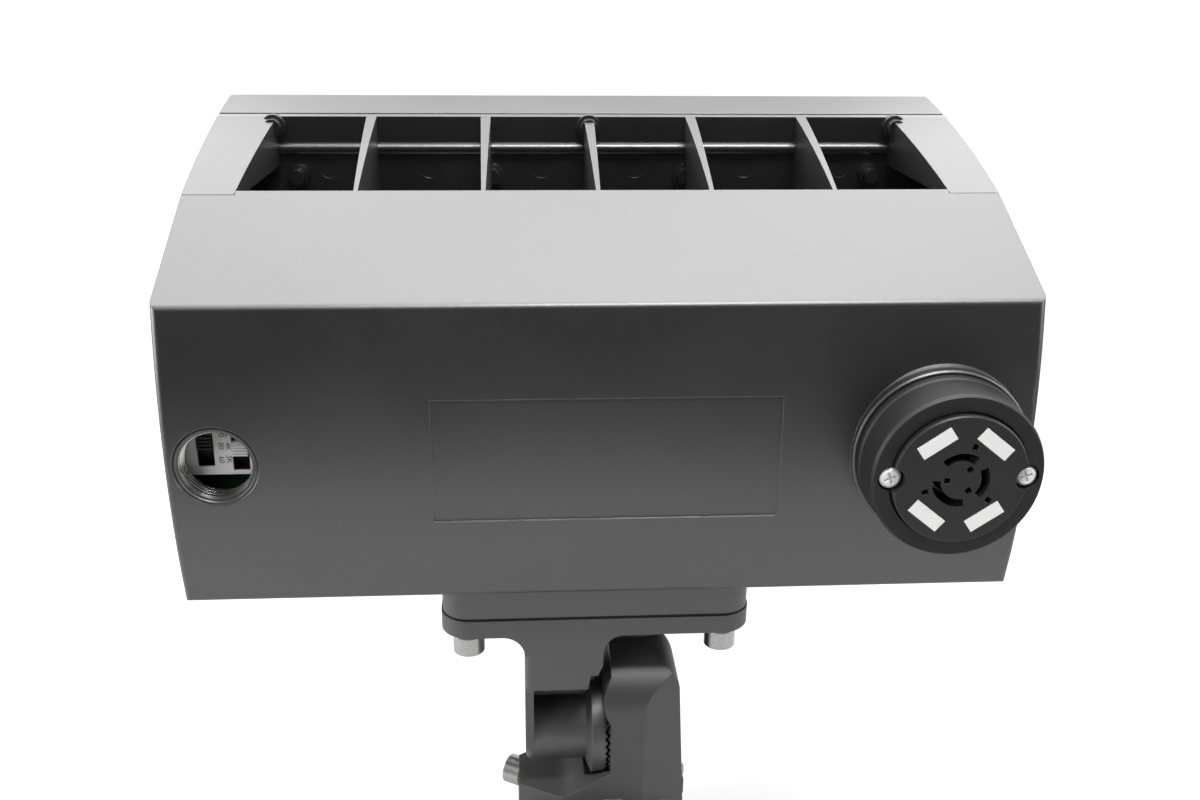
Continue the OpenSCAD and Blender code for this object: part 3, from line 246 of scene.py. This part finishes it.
def floor_finish():
    """A pale table for light and shadow, and a white glow for the lens past its edge."""
    material, tree, shader = new_material("pale_floor", Roughness=0.9)
    place = add(tree, "ShaderNodeTexCoord")
    reach = add(tree, "ShaderNodeVectorMath", "distance from the object")
    reach.operation = "LENGTH"
    wire(tree, place.outputs["Object"], reach.inputs[0])
    near = remap(tree, reach.outputs["Value"], "one on the table, none past its edge",
                 smooth=True, From_Min=TABLE_REACH + TABLE_FADE, From_Max=TABLE_REACH)
    tone = remap(tree, near, To_Min=FAR_TONE, To_Max=TABLE_TONE)
    wire(tree, tone, shader.inputs["Base Color"])
    path = add(tree, "ShaderNodeLightPath").outputs
    lens = calculate(tree, "MAXIMUM", path["Is Camera Ray"], path["Is Transmission Ray"])
    lens_glow = remap(tree, near, "white past the table", To_Min=FAR_WHITE, To_Max=TABLE_WHITE)
    seen = calculate(tree, "MULTIPLY", lens, lens_glow)
    mirror_glow = calculate(tree, "MULTIPLY", near, TABLE_MIRROR,
                            "reflections see the table only")
    mirrored = calculate(tree, "MULTIPLY", path["Is Glossy Ray"], mirror_glow)
    glow = calculate(tree, "MAXIMUM", seen, mirrored)
    shader.inputs["Emission Color"].default_value = grey(1)
    wire(tree, glow, shader.inputs["Emission Strength"])
    return material


pale_floor = floor_finish()
print("finish", pale_floor.name, "fades out at", TABLE_REACH + TABLE_FADE, "m")

# %% [markdown]
# The table itself is a disc with a single face. It lies a millimetre under the slip fitter's
# mouth, so that the two never share a plane.

# %% Floor
FLOOR_RADIUS = 8
FLOOR_SIDES = 96
FLOOR_GAP = 1 * mm


def build_floor():
    """A wide disc just under the slip fitter's mouth."""
    mesh = bpy.data.meshes.new("floor")
    shape = bmesh.new()
    bmesh.ops.create_circle(shape, cap_ends=True, radius=FLOOR_RADIUS, segments=FLOOR_SIDES)
    shape.to_mesh(mesh)
    shape.free()
    floor = bpy.data.objects.new("floor", mesh)
    scene.collection.objects.link(floor)
    floor.location.z = cad_low.z - FLOOR_GAP
    mesh.materials.append(pale_floor)
    return floor


floor = build_floor()
print("floor at", round(floor.location.z, 4), "m")

# %% [markdown]
# ## The lamps
# The sloping top reads pale while the rear panel stays dark, because the softboxes stood over
# the far side of the object. We copy that with a pair of large overhead lamps with a gap
# between them, so the middle of the top is a little darker than its ends, and a small one
# farther off for the frame's edge. A narrow strip above the camera draws the bright line along
# the ribs in the bays. A lamp at each side finds the rounded edges. One more at the left front
# lights only what scatters light, such as the pale panel, and is kept out of reflections.

# %% Lamps
BODY_MIDDLE = Vector((0, 0.05, 0.26))

# Each row: name, place in metres, width, depth, power in watts, seen in reflections.
LAMPS = [
    ("overhead_left", (-0.5, 0.75, 1.5), 0.96, 1.6, 18.5, True),
    ("overhead_right", (0.62, 0.75, 1.5), 0.96, 1.6, 20, True),
    ("overhead_far", (0.06, 1.35, 1.35), 0.6, 0.4, 2, True),
    ("top_strip", (0.2, -0.5, 1.6), 0.7, 0.25, 18, True),
    ("left_front", (-0.9, -0.85, 1.0), 0.7, 0.7, 12, False),
    ("left_side", (-1.3, 0.0, 0.35), 0.6, 0.9, 13, True),
    ("right_side", (1.3, -0.35, 0.6), 0.5, 0.9, 6, True),
]


def softbox(name, place, width, depth, power, mirrored):
    """A rectangular area lamp that faces the body, and may be kept out of reflections."""
    data = bpy.data.lights.new(name, "AREA")
    data.shape = "RECTANGLE"
    data.size = width
    data.size_y = depth
    data.energy = power
    lamp = bpy.data.objects.new(name, data)
    scene.collection.objects.link(lamp)
    lamp.location = place
    lamp.rotation_mode = "QUATERNION"
    lamp.rotation_quaternion = (Vector(place) - BODY_MIDDLE).to_track_quat("Z", "Y")
    lamp.visible_glossy = mirrored


for row in LAMPS:
    softbox(*row)
print(len(LAMPS), "lamps,", sum(row[4] for row in LAMPS), "W in all")

# %% [markdown]
# ## Effects that several finishes share
# A casting, a screw and a moulded cap differ in colour, but they share two effects. Their
# edges are never perfectly sharp, so light catches them. And their surface isn't quite even:
# it has a fine grain and broad faint patches. Each effect becomes one node group with named
# inputs, which a material then places with its own values. That way a change to the effect is
# made once, and every finish follows.

# %% Group helpers
FLOAT = "NodeSocketFloat"
VECTOR = "NodeSocketVector"


def new_group(name, inputs, outputs):
    """Starts a node group with number inputs {name: default} and outputs {name: kind}."""
    group = bpy.data.node_groups.new(name, "ShaderNodeTree")
    for socket, value in inputs.items():
        made = group.interface.new_socket(socket, in_out="INPUT", socket_type=FLOAT)
        made.default_value = value
    for socket, kind in outputs.items():
        group.interface.new_socket(socket, in_out="OUTPUT", socket_type=kind)
    start = group.nodes.new("NodeGroupInput")
    end = group.nodes.new("NodeGroupOutput")
    return group, start, end


def place_group(tree, group, **inputs):
    """Puts a group into a material with its own values."""
    node = tree.nodes.new("ShaderNodeGroup")
    node.node_tree = group
    fill(node, inputs)
    return node


print("helpers for groups ready")

# %% [markdown]
# ## Soft edges
# Real edges are rounded by casting, moulding or handling. Rounding them in the mesh would
# multiply its faces, so we let the Bevel node turn the normal near an edge instead. A second,
# wider Bevel tells us where the edges are: where its normal leaves the true one, the surface
# is close to an edge. We break that mask up with a noise, and the finishes paint their edges
# paler by it: a painted highlight along the edges, in patches.

# %% Soft edges
BEVEL_SAMPLES = 6
EDGE_STARTS = 0.99
EDGE_FULL = 0.72
PAINTED_HIGHLIGHT_BREAKS = 180


def soft_edge_group():
    """Rounds edges in the normal, and gives a mask of where the edges are."""
    group, start, end = new_group(
        "soft_edges", {"Radius": 0.6 * mm, "Wear Radius": 1.2 * mm, "Amount": 1.0},
        {"Normal": VECTOR, "Edge": FLOAT})
    narrow = add(group, "ShaderNodeBevel")
    wide = add(group, "ShaderNodeBevel")
    narrow.samples = wide.samples = BEVEL_SAMPLES
    wire(group, start.outputs["Radius"], narrow.inputs["Radius"])
    wire(group, start.outputs["Wear Radius"], wide.inputs["Radius"])
    geometry = add(group, "ShaderNodeNewGeometry")
    facing = add(group, "ShaderNodeVectorMath", "how far the edge turns the normal")
    facing.operation = "DOT_PRODUCT"
    wire(group, wide.outputs["Normal"], facing.inputs[0])
    wire(group, geometry.outputs["Normal"], facing.inputs[1])
    mask = remap(group, facing.outputs["Value"], "none on a flat face, one on an edge",
                 From_Min=EDGE_STARTS, From_Max=EDGE_FULL)
    # A noise breaks the edge mask up, so the painted edge highlight is patchy along the edges.
    place = add(group, "ShaderNodeTexCoord")
    breaks = add(group, "ShaderNodeTexNoise", "painted highlight broken here and there", Scale=PAINTED_HIGHLIGHT_BREAKS,
                 Detail=3)
    wire(group, place.outputs["Object"], breaks.inputs["Vector"])
    patchy = remap(group, breaks.outputs["Fac"], From_Min=0.3, From_Max=0.65)
    broken = calculate(group, "MULTIPLY", mask, patchy)
    scaled = calculate(group, "MULTIPLY", broken, start.outputs["Amount"])
    scaled.node.use_clamp = True
    wire(group, narrow.outputs["Normal"], end.inputs["Normal"])
    wire(group, scaled, end.inputs["Edge"])
    return group


soft_edges = soft_edge_group()
print("group", soft_edges.name)

# %% [markdown]
# ## Grain
# A powder coat has the fine skin of an orange, and a moulded part takes the spark-eroded
# texture of its mould. Both also vary a little from place to place. Two noises do this, one
# fine and one broad. Their sizes are inputs in metres, since a size is easier to judge than a
# scale, so the group divides one by them.

# %% Grain
SPECK_SHOWS = 0.6
SPECK_FULL = 0.78


def noise_at(group, place, size, label, **settings):
    """A noise whose features have about the given size."""
    noise = add(group, "ShaderNodeTexNoise", label, **settings)
    wire(group, place.outputs["Object"], noise.inputs["Vector"])
    wire(group, calculate(group, "DIVIDE", 1, size), noise.inputs["Scale"])
    return noise.outputs["Fac"]


def grain_group():
    """Fine specks and broad patches: one height for a bump, and two masks."""
    group, start, end = new_group(
        "grain", {"Speck Size": 0.7 * mm, "Patch Size": 60 * mm},
        {"Height": FLOAT, "Specks": FLOAT, "Patches": FLOAT})
    place = add(group, "ShaderNodeTexCoord")
    specks = noise_at(group, place, start.outputs["Speck Size"], "fine", Detail=2, Roughness=0.6)
    patches = noise_at(group, place, start.outputs["Patch Size"], "broad", Detail=4,
                       Roughness=0.55)
    strongest = remap(group, specks, "only the strongest specks show", From_Min=SPECK_SHOWS,
                      From_Max=SPECK_FULL)
    wire(group, specks, end.inputs["Height"])
    wire(group, strongest, end.inputs["Specks"])
    wire(group, patches, end.inputs["Patches"])
    return group


grain = grain_group()
print("group", grain.name)

# %% [markdown]
# ## From mask to shader
# Two things are the same in nearly every finish. The roughness is never one number: it goes a
# little below and above its value, as the patches say. And the fine grain lifts the surface
# slightly, on top of the normal that the soft edges have already turned. If the bump ignored
# that normal, the edges would be sharp again.

# %% Surface helpers
def uneven_roughness(tree, shader, mask, roughness, spread):
    """Lets a mask vary the roughness by a little below and a little above its value."""
    below, above = spread
    rough = remap(tree, mask, To_Min=roughness + below, To_Max=roughness + above)
    wire(tree, rough, shader.inputs["Roughness"])


def grain_bump(tree, shader, texture, edges, height, depth):
    """A bump of the fine grain on top of the rounded edges."""
    bump = add(tree, "ShaderNodeBump", Strength=height, Distance=depth)
    wire(tree, texture.outputs["Height"], bump.inputs["Height"])
    wire(tree, edges.outputs["Normal"], bump.inputs["Normal"])
    wire(tree, bump.outputs["Normal"], shader.inputs["Normal"])


print("surface helpers ready")

# %% [markdown]
# ## Powder coat on the castings
# The housing, heat sink, frame and bracket are die-cast aluminium with a dark powder coat. Such
# a coat is slightly metallic, fairly glossy, and has a fine orange peel. We mix a darker and a
# lighter grey by the broad patches, lighten a few specks, paint a paler highlight along the
# edges, and let the fine noise drive a small bump on top of the rounded edges. The same
# function gives five coats. The heat sink's ribs are crisp, so its edges are rounded less and
# its painted edge highlight is fainter. The bracket and the slip fitter are coated apart from
# the head and are a little darker and less glossy, and the cover inside the housing has the
# plainest coat.

# %% Coated metal
SPECK_SHARE = 0.35
SPECK_LIFT = 1.5
COAT_SPREAD = (-0.04, 0.06)


def coated_metal(name, dark, light, edge, roughness, metallic, edge_radius=0.5 * mm):
    """A powder coat between two greys, with a painted highlight along its edges."""
    material, tree, shader = new_material(name, Metallic=metallic, Specular_IOR_Level=0.75)
    texture = place_group(tree, grain, Speck_Size=0.8 * mm, Patch_Size=50 * mm)
    edges = place_group(tree, soft_edges, Radius=edge_radius, Wear_Radius=0.9 * mm, Amount=0.5)
    body = blend(tree, texture.outputs["Patches"], grey(dark), grey(light), "broad tone")
    speck_share = calculate(tree, "MULTIPLY", texture.outputs["Specks"], SPECK_SHARE)
    dusty = blend(tree, speck_share, body, grey(light * SPECK_LIFT), "pale specks")
    # The edges get a paler grey: a painted highlight along the edges, in patches.
    with_edge_highlight = blend(tree, edges.outputs["Edge"], dusty, grey(edge), "painted highlight on the edges")
    wire(tree, with_edge_highlight, shader.inputs["Base Color"])
    uneven_roughness(tree, shader, texture.outputs["Patches"], roughness, COAT_SPREAD)
    grain_bump(tree, shader, texture, edges, height=0.05, depth=0.4 * mm)
    return material


body_coat = coated_metal("body_powder_coat", dark=0.125, light=0.155, edge=0.28,
                         roughness=0.41, metallic=0.96)
sink_coat = coated_metal("sink_powder_coat", dark=0.13, light=0.16, edge=0.17,
                         roughness=0.34, metallic=0.96, edge_radius=0.12 * mm)
bracket_coat = coated_metal("bracket_powder_coat", dark=0.11, light=0.14, edge=0.26,
                            roughness=0.47, metallic=0.75)
fitter_coat = coated_metal("slip_fitter_powder_coat", dark=0.08, light=0.11, edge=0.24,
                           roughness=0.46, metallic=0.7)
inner_coat = coated_metal("cover_powder_coat", dark=0.09, light=0.12, edge=0.2,
                          roughness=0.5, metallic=0.7)
print("coats", [coat.name for coat in (body_coat, sink_coat, bracket_coat, fitter_coat,
                                       inner_coat)])

# %% [markdown]
# ## Bare and plated metal
# The screws and washers are steel, the contact pads are tinned, the receptacle's screws are
# zinc plated, its contacts are brass, and the thread in the window is bare where the cutter
# went through the coat. Turned metal has faint rings round its axis, so its tone and its
# roughness change in narrow bands. A stretched noise gives those bands without an image. The
# plated pieces are given a nearly white colour and are only a little metallic, since a true
# mirror would show the dark room behind the camera. Their plating is pale, and the white
# colour also stands in for their bright reflection: partly a painted reflection.

# %% Metals
TURNING_MARKS = (900, 900, 2600)
METAL_SPREAD = (-0.05, 0.1)


def with_alpha(colour):
    """A colour of three parts as the four that a socket takes."""
    return [*colour, 1]


def bright_metal(name, tone, roughness, edge_radius=0.3 * mm, contrast=0.14, metallic=1.0):
    """Bare or plated metal of one colour with fine turning marks."""
    material, tree, shader = new_material(name, Metallic=metallic)
    edges = place_group(tree, soft_edges, Radius=edge_radius, Wear_Radius=0.5 * mm, Amount=0.4)
    place = add(tree, "ShaderNodeTexCoord")
    stretch = add(tree, "ShaderNodeMapping", Scale=TURNING_MARKS)
    wire(tree, place.outputs["Object"], stretch.inputs["Vector"])
    marks = add(tree, "ShaderNodeTexNoise", Scale=1, Detail=2)
    wire(tree, stretch.outputs["Vector"], marks.inputs["Vector"])
    groove = with_alpha(part * (1 - contrast) for part in tone)
    colour = blend(tree, marks.outputs["Fac"], groove, with_alpha(tone))
    wire(tree, colour, shader.inputs["Base Color"])
    uneven_roughness(tree, shader, marks.outputs["Fac"], roughness, METAL_SPREAD)
    wire(tree, edges.outputs["Normal"], shader.inputs["Normal"])
    return material


stainless = bright_metal("stainless_screw", (0.72, 0.72, 0.71), 0.28)
cap_screw_steel = bright_metal("cap_screw_steel", (0.62, 0.62, 0.61), 0.28, contrast=0.5)
washer_steel = bright_metal("washer_steel", (0.26, 0.26, 0.25), 0.35, contrast=0.3)
# The near-white colour of the pads and the receptacle's screws is their pale plating and partly a
# painted reflection.
plated = bright_metal("tin_plated_pad", (0.93, 0.93, 0.92), 0.45, contrast=0.05, metallic=0.15)
zinc_plated = bright_metal("zinc_plated_screw", (0.93, 0.93, 0.92), 0.4, contrast=0.06,
                           metallic=0.2)
bare_thread = bright_metal("bare_cut_metal", (0.62, 0.62, 0.61), 0.2, edge_radius=0.04 * mm,
                           contrast=0.05)
brass = bright_metal("contact_brass", (0.72, 0.52, 0.22), 0.3)
print("metals", [metal.name for metal in (stainless, cap_screw_steel, washer_steel, plated,
                                          zinc_plated, bare_thread, brass)])

# %% [markdown]
# ## Moulded plastic and rubber
# The receptacle is black engineering plastic, and the gaskets are black silicone. Both have a
# very fine spark-eroded texture. One maker function serves them all: it takes a colour and a
# roughness, mottles the colour slightly, and paints the edges paler as a highlight. The solder
# mask of the boards, the yellow of the diodes, the driver's case and the ink of the printed
# settings are even and fine as well, so the same function gives those too.

# %% Plastics
MOTTLE = 0.15
EDGE_HIGHLIGHT_GAIN = 1.3
EDGE_HIGHLIGHT_LIFT = 0.03
MOULD_SPREAD = (-0.05, 0.07)


def scaled_colour(colour, gain, lift=0):
    """A colour made brighter or darker, and kept below white."""
    return with_alpha(min(1, part * gain + lift) for part in colour)


def moulded(name, colour, roughness):
    """A moulded plastic or rubber with an even fine texture."""
    material, tree, shader = new_material(name)
    texture = place_group(tree, grain, Speck_Size=0.5 * mm, Patch_Size=20 * mm)
    edges = place_group(tree, soft_edges, Radius=0.35 * mm, Wear_Radius=0.6 * mm, Amount=0.4)
    tone = blend(tree, texture.outputs["Patches"], scaled_colour(colour, 1 - MOTTLE),
                 scaled_colour(colour, 1 + MOTTLE))
    # The edges get a paler colour: a painted highlight along the edges.
    highlighted_tone = blend(tree, edges.outputs["Edge"], tone, scaled_colour(colour, EDGE_HIGHLIGHT_GAIN, EDGE_HIGHLIGHT_LIFT),
                   "edges painted paler as a highlight")
    wire(tree, highlighted_tone, shader.inputs["Base Color"])
    uneven_roughness(tree, shader, texture.outputs["Patches"], roughness, MOULD_SPREAD)
    grain_bump(tree, shader, texture, edges, height=0.04, depth=0.3 * mm)
    return material


black_plastic = moulded("black_nylon", (0.012, 0.012, 0.013), 0.5)
face_plastic = moulded("receptacle_face_plastic", (0.016, 0.016, 0.017), 0.42)
black_rubber = moulded("black_silicone", (0.004, 0.004, 0.004), 0.7)
pale_plastic = moulded("pale_panel_plastic", (0.74, 0.74, 0.73), 0.5)
knob_plastic = moulded("pale_knob_plastic", (0.7, 0.7, 0.69), 0.45)
board_green = moulded("green_solder_mask", (0.006, 0.035, 0.015), 0.45)
board_white = moulded("white_solder_mask", (0.82, 0.82, 0.8), 0.35)
phosphor = moulded("diode_phosphor", (0.85, 0.66, 0.12), 0.3)
driver_case = moulded("driver_aluminium", (0.45, 0.45, 0.46), 0.4)
ink = moulded("printed_ink", (0.05, 0.05, 0.05), 0.6)
print("moulded", [m.name for m in (black_plastic, face_plastic, black_rubber, pale_plastic,
                                   knob_plastic, board_green, board_white, phosphor,
                                   driver_case, ink)])

# %% [markdown]
# ## Glass
# The lens is a clear tempered pane, and the optics behind it are clear moulded domes. Clear
# things look like what is behind them, so they need little more than an index of refraction.
# A faint noise in the roughness keeps them from looking computed.

# %% Clear parts
FILM_SPREAD = (0, 0.03)


def clear(name, tint, roughness, index):
    """Clear glass or acrylic."""
    material, tree, shader = new_material(name, Transmission_Weight=1.0, IOR=index)
    place = add(tree, "ShaderNodeTexCoord")
    film = add(tree, "ShaderNodeTexNoise", Scale=14, Detail=3)
    wire(tree, place.outputs["Object"], film.inputs["Vector"])
    colour = blend(tree, film.outputs["Fac"], with_alpha(tint), grey(0.99))
    wire(tree, colour, shader.inputs["Base Color"])
    uneven_roughness(tree, shader, film.outputs["Fac"], roughness, FILM_SPREAD)
    return material


lens_glass = clear("tempered_pane", (0.93, 0.96, 0.96), 0.0, index=1.5)
optic_clear = clear("optic_acrylic", (0.95, 0.97, 0.98), 0.02, index=1.49)
print("clear parts", lens_glass.name, optic_clear.name)

# %% [markdown]
# ## Dress the pieces
# Each piece that came from the frame now gets its finish. A table from finish to piece names is
# easier to check than forty separate lines, and the count at the end tells us if one was left.

# %% Assign finishes
finishes = {
    body_coat: ["driver_housing", "fins", "left_cheek", "right_cheek", "sink_pillars",
                "front_frame"],
    sink_coat: ["heat_sink"],
    bracket_coat: ["bracket_arm"],
    fitter_coat: ["slip_fitter"],
    inner_coat: ["driver_cover"],
    cap_screw_steel: ["tenon_screws", "bracket_screws", "knuckle_bolt", "knuckle_nut"],
    washer_steel: ["bracket_spring_washers", "bracket_flat_washers", "knuckle_washer"],
    stainless: ["cover_screws", "driver_screws", "selector_screws", "housing_bolts",
                "frame_screws", "lens_clips", "clip_screws", "board_screws"],
    zinc_plated: ["receptacle_screws"],
    black_rubber: ["bracket_gasket", "cover_gasket", "frame_gasket", "lens_gasket",
                   "receptacle_gasket"],
    driver_case: ["driver"],
    board_green: ["selector_board"],
    pale_plastic: ["selector_panel"],
    black_plastic: ["power_switch", "colour_switch", "power_slider", "receptacle_body"],
    face_plastic: ["receptacle_face"],
    knob_plastic: ["colour_slider"],
    plated: ["dimming_pads"],
    brass: ["line_contacts"],
    lens_glass: ["lens"],
    board_white: ["led_board"],
    phosphor: ["leds"],
    optic_clear: ["optic_plates"],
}
dressed = set()
for material, names in finishes.items():
    for name in names:
        for slot in nodes[name].material_slots:
            slot.material = material
        dressed.add(name)
print("dressed", len(dressed), "of", len(nodes), "pieces; left:", sorted(set(nodes) - dressed))

# %% [markdown]
# ## The round window
# Two small turned forms and six printed marks are still missing, all in or behind the round
# window at the left of the rear panel. We measure where the window is from pieces of the
# frame, so that they stay in place if the model changes: the selector board is centred behind
# the window, and the pale panel's face closes the bore at its inner end.

# %% Measure the window
panel_low, panel_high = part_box("selector_panel")
board_low, board_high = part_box("selector_board")
WINDOW_X = (board_low.x + board_high.x) / 2
WINDOW_Z = (board_low.z + board_high.z) / 2
PANEL_FACE_Y = panel_low.y
BORE_RADIUS = 13.3 * mm
WINDOW_DEPTH = 11.9 * mm
print("window at", round(WINDOW_X, 4), round(WINDOW_Z, 4), "m, panel face at",
      round(PANEL_FACE_Y, 4), "m")

# %% [markdown]
# ## Helpers for the turned forms
# Blender has modifiers that screw or spin a profile, but points that we compute ourselves can
# taper out at the ends, and their number stays plain to see. One helper places a point round
# the window's axis. One skins a row of rings with faces. The last makes an object of the mesh
# and lets it ride on a body of the frame, so that it moves with the head.

# %% Mesh helpers
def window_point(shape, angle, radius, y):
    """A new point at an angle and a radius round the window's axis."""
    return shape.verts.new((WINDOW_X + radius * math.cos(angle), y,
                            WINDOW_Z + radius * math.sin(angle)))


def skin(shape, rings, closed):
    """Joins rings of points with faces, end to end or with a cap at both ends."""
    followers = rings[1:] + rings[:1] if closed else rings[1:]
    for near, far in zip(rings, followers):
        for j in range(len(near)):
            k = (j + 1) % len(near)
            shape.faces.new((near[j], near[k], far[k], far[j]))
    if not closed:
        shape.faces.new(rings[0][::-1])
        shape.faces.new(rings[-1])
    bmesh.ops.recalc_face_normals(shape, faces=shape.faces)


def add_piece(name, shape, material, body):
    """Turns a bmesh into an object that rides on a body of the frame."""
    mesh = bpy.data.meshes.new(name)
    shape.to_mesh(mesh)
    shape.free()
    mesh.materials.append(material)
    for face in mesh.polygons:
        face.use_smooth = False
    piece = bpy.data.objects.new(name, mesh)
    scene.collection.objects.link(piece)
    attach(piece, body)
    return piece


print("mesh helpers ready")

# %% [markdown]
# ## The thread inside the window
# A clear plug screws into the round window over the switches, so the bore carries a thread,
# and the cutter leaves that thread bright where the rest is coated. A thread is one small
# ridge swept along a helix. It sinks a little into the wall, so no gap shows at its foot, and
# it starts clear of the colour knob, which moves just in front of the pale panel.

# %% Cut the thread
THREAD_PITCH = 2.1 * mm
THREAD_HEIGHT = 0.5 * mm
THREAD_TURNS = 3.6
THREAD_START = 2.25 * mm
THREAD_FOOT = 0.62 * mm
THREAD_CREST = 0.28 * mm
THREAD_SINK = 0.12 * mm
THREAD_END_HEIGHT = 0.02 * mm
TAPER_PER_TURN = 3
STEPS_PER_TURN = 64


def window_thread():
    """A ridge along a helix that lines the bore, tapered out at both ends."""
    shape = bmesh.new()
    steps = int(THREAD_TURNS * STEPS_PER_TURN)
    rings = []
    for i in range(steps + 1):
        turn = THREAD_TURNS * i / steps
        angle = 2 * math.pi * turn
        taper = min(1, TAPER_PER_TURN * turn, TAPER_PER_TURN * (THREAD_TURNS - turn))
        inner = BORE_RADIUS - THREAD_HEIGHT * taper - THREAD_END_HEIGHT
        outer = BORE_RADIUS + THREAD_SINK
        y = PANEL_FACE_Y - THREAD_START - turn * THREAD_PITCH
        profile = ((outer, -THREAD_FOOT), (inner, -THREAD_CREST), (inner, THREAD_CREST),
                   (outer, THREAD_FOOT))
        rings.append([window_point(shape, angle, radius, y + along)
                      for radius, along in profile])
    skin(shape, rings, closed=False)
    return shape


thread = add_piece("window_thread", window_thread(), bare_thread, "head")
print("thread", len(thread.data.polygons), "faces")

# %% [markdown]
# ## The window's rim
# The mouth of the window steps down before the thread begins, which gives a plug's seal a face
# to press on. Here the steps are a closed ring that seats in the wide bevel of the bore and has
# the same coat. Its profile is a short list of radius and depth, as one would read it off a
# drawing, and it is turned round the window's axis.

# %% Turn the window's rim
RIM_STEPS = 128

# Each pair: radius, and depth below the rear panel, in millimetres.
RIM_PROFILE = ((15.43, 0.5), (15.1, 0.8), (14.55, 0.8), (14.2, 1.2), (13.35, 1.35), (13.35, 2.6))


def window_rim():
    """A stepped ring that seats in the wide bevel of the bore."""
    shape = bmesh.new()
    face_y = PANEL_FACE_Y - WINDOW_DEPTH
    rings = []
    for i in range(RIM_STEPS):
        angle = 2 * math.pi * i / RIM_STEPS
        rings.append([window_point(shape, angle, radius * mm, face_y + depth * mm)
                      for radius, depth in RIM_PROFILE])
    skin(shape, rings, closed=True)
    return shape


rim = add_piece("window_rim", window_rim(), body_coat, "head")
print("rim", len(rim.data.polygons), "faces")

# %% [markdown]
# ## Setting marks
# The pale panel carries small printed settings beside each switch: power in per cent, and
# colour in thousands of kelvin. They read from top to bottom. Blender's own text makes the
# letters, and we turn them into a thin mesh just proud of the panel, like ink.

# %% Print the marks
INK_LIFT = 0.03 * mm
INK_THICKNESS = 0.02 * mm
MARK_SIZE = 2.9 * mm

# Each row: the words, and their place from the window's centre in millimetres.
MARKS = [
    ("100", 0.4, 9.2),
    ("80", 0.0, 3.4),
    ("60", -0.3, -2.2),
    ("5K", 2.65, 8.6),
    ("4K", 2.6, 3.2),
    ("3K", 2.5, -2.0),
]


def print_mark(index, words, x, z):
    """One printed setting, turned a quarter so that it reads downwards."""
    font = bpy.data.curves.new("mark", "FONT")
    font.body = words
    font.size = MARK_SIZE
    font.align_x = "CENTER"
    font.align_y = "CENTER"
    font.extrude = INK_THICKNESS
    text = bpy.data.objects.new("mark", font)
    scene.collection.objects.link(text)
    shape = bmesh.new()
    shape.from_mesh(text.to_mesh())
    upright = Matrix.Rotation(math.radians(90), 4, "X")
    downwards = Matrix.Rotation(math.radians(-90), 4, "Z")
    spot = Vector((WINDOW_X + x * mm, PANEL_FACE_Y - INK_LIFT, WINDOW_Z + z * mm))
    bmesh.ops.transform(shape, matrix=Matrix.Translation(spot) @ upright @ downwards,
                        verts=shape.verts)
    bpy.data.objects.remove(text)
    return add_piece(f"setting_mark_{index}", shape, ink, "head")


for index, row in enumerate(MARKS):
    print_mark(index, *row)
print("printed", len(MARKS), "settings")
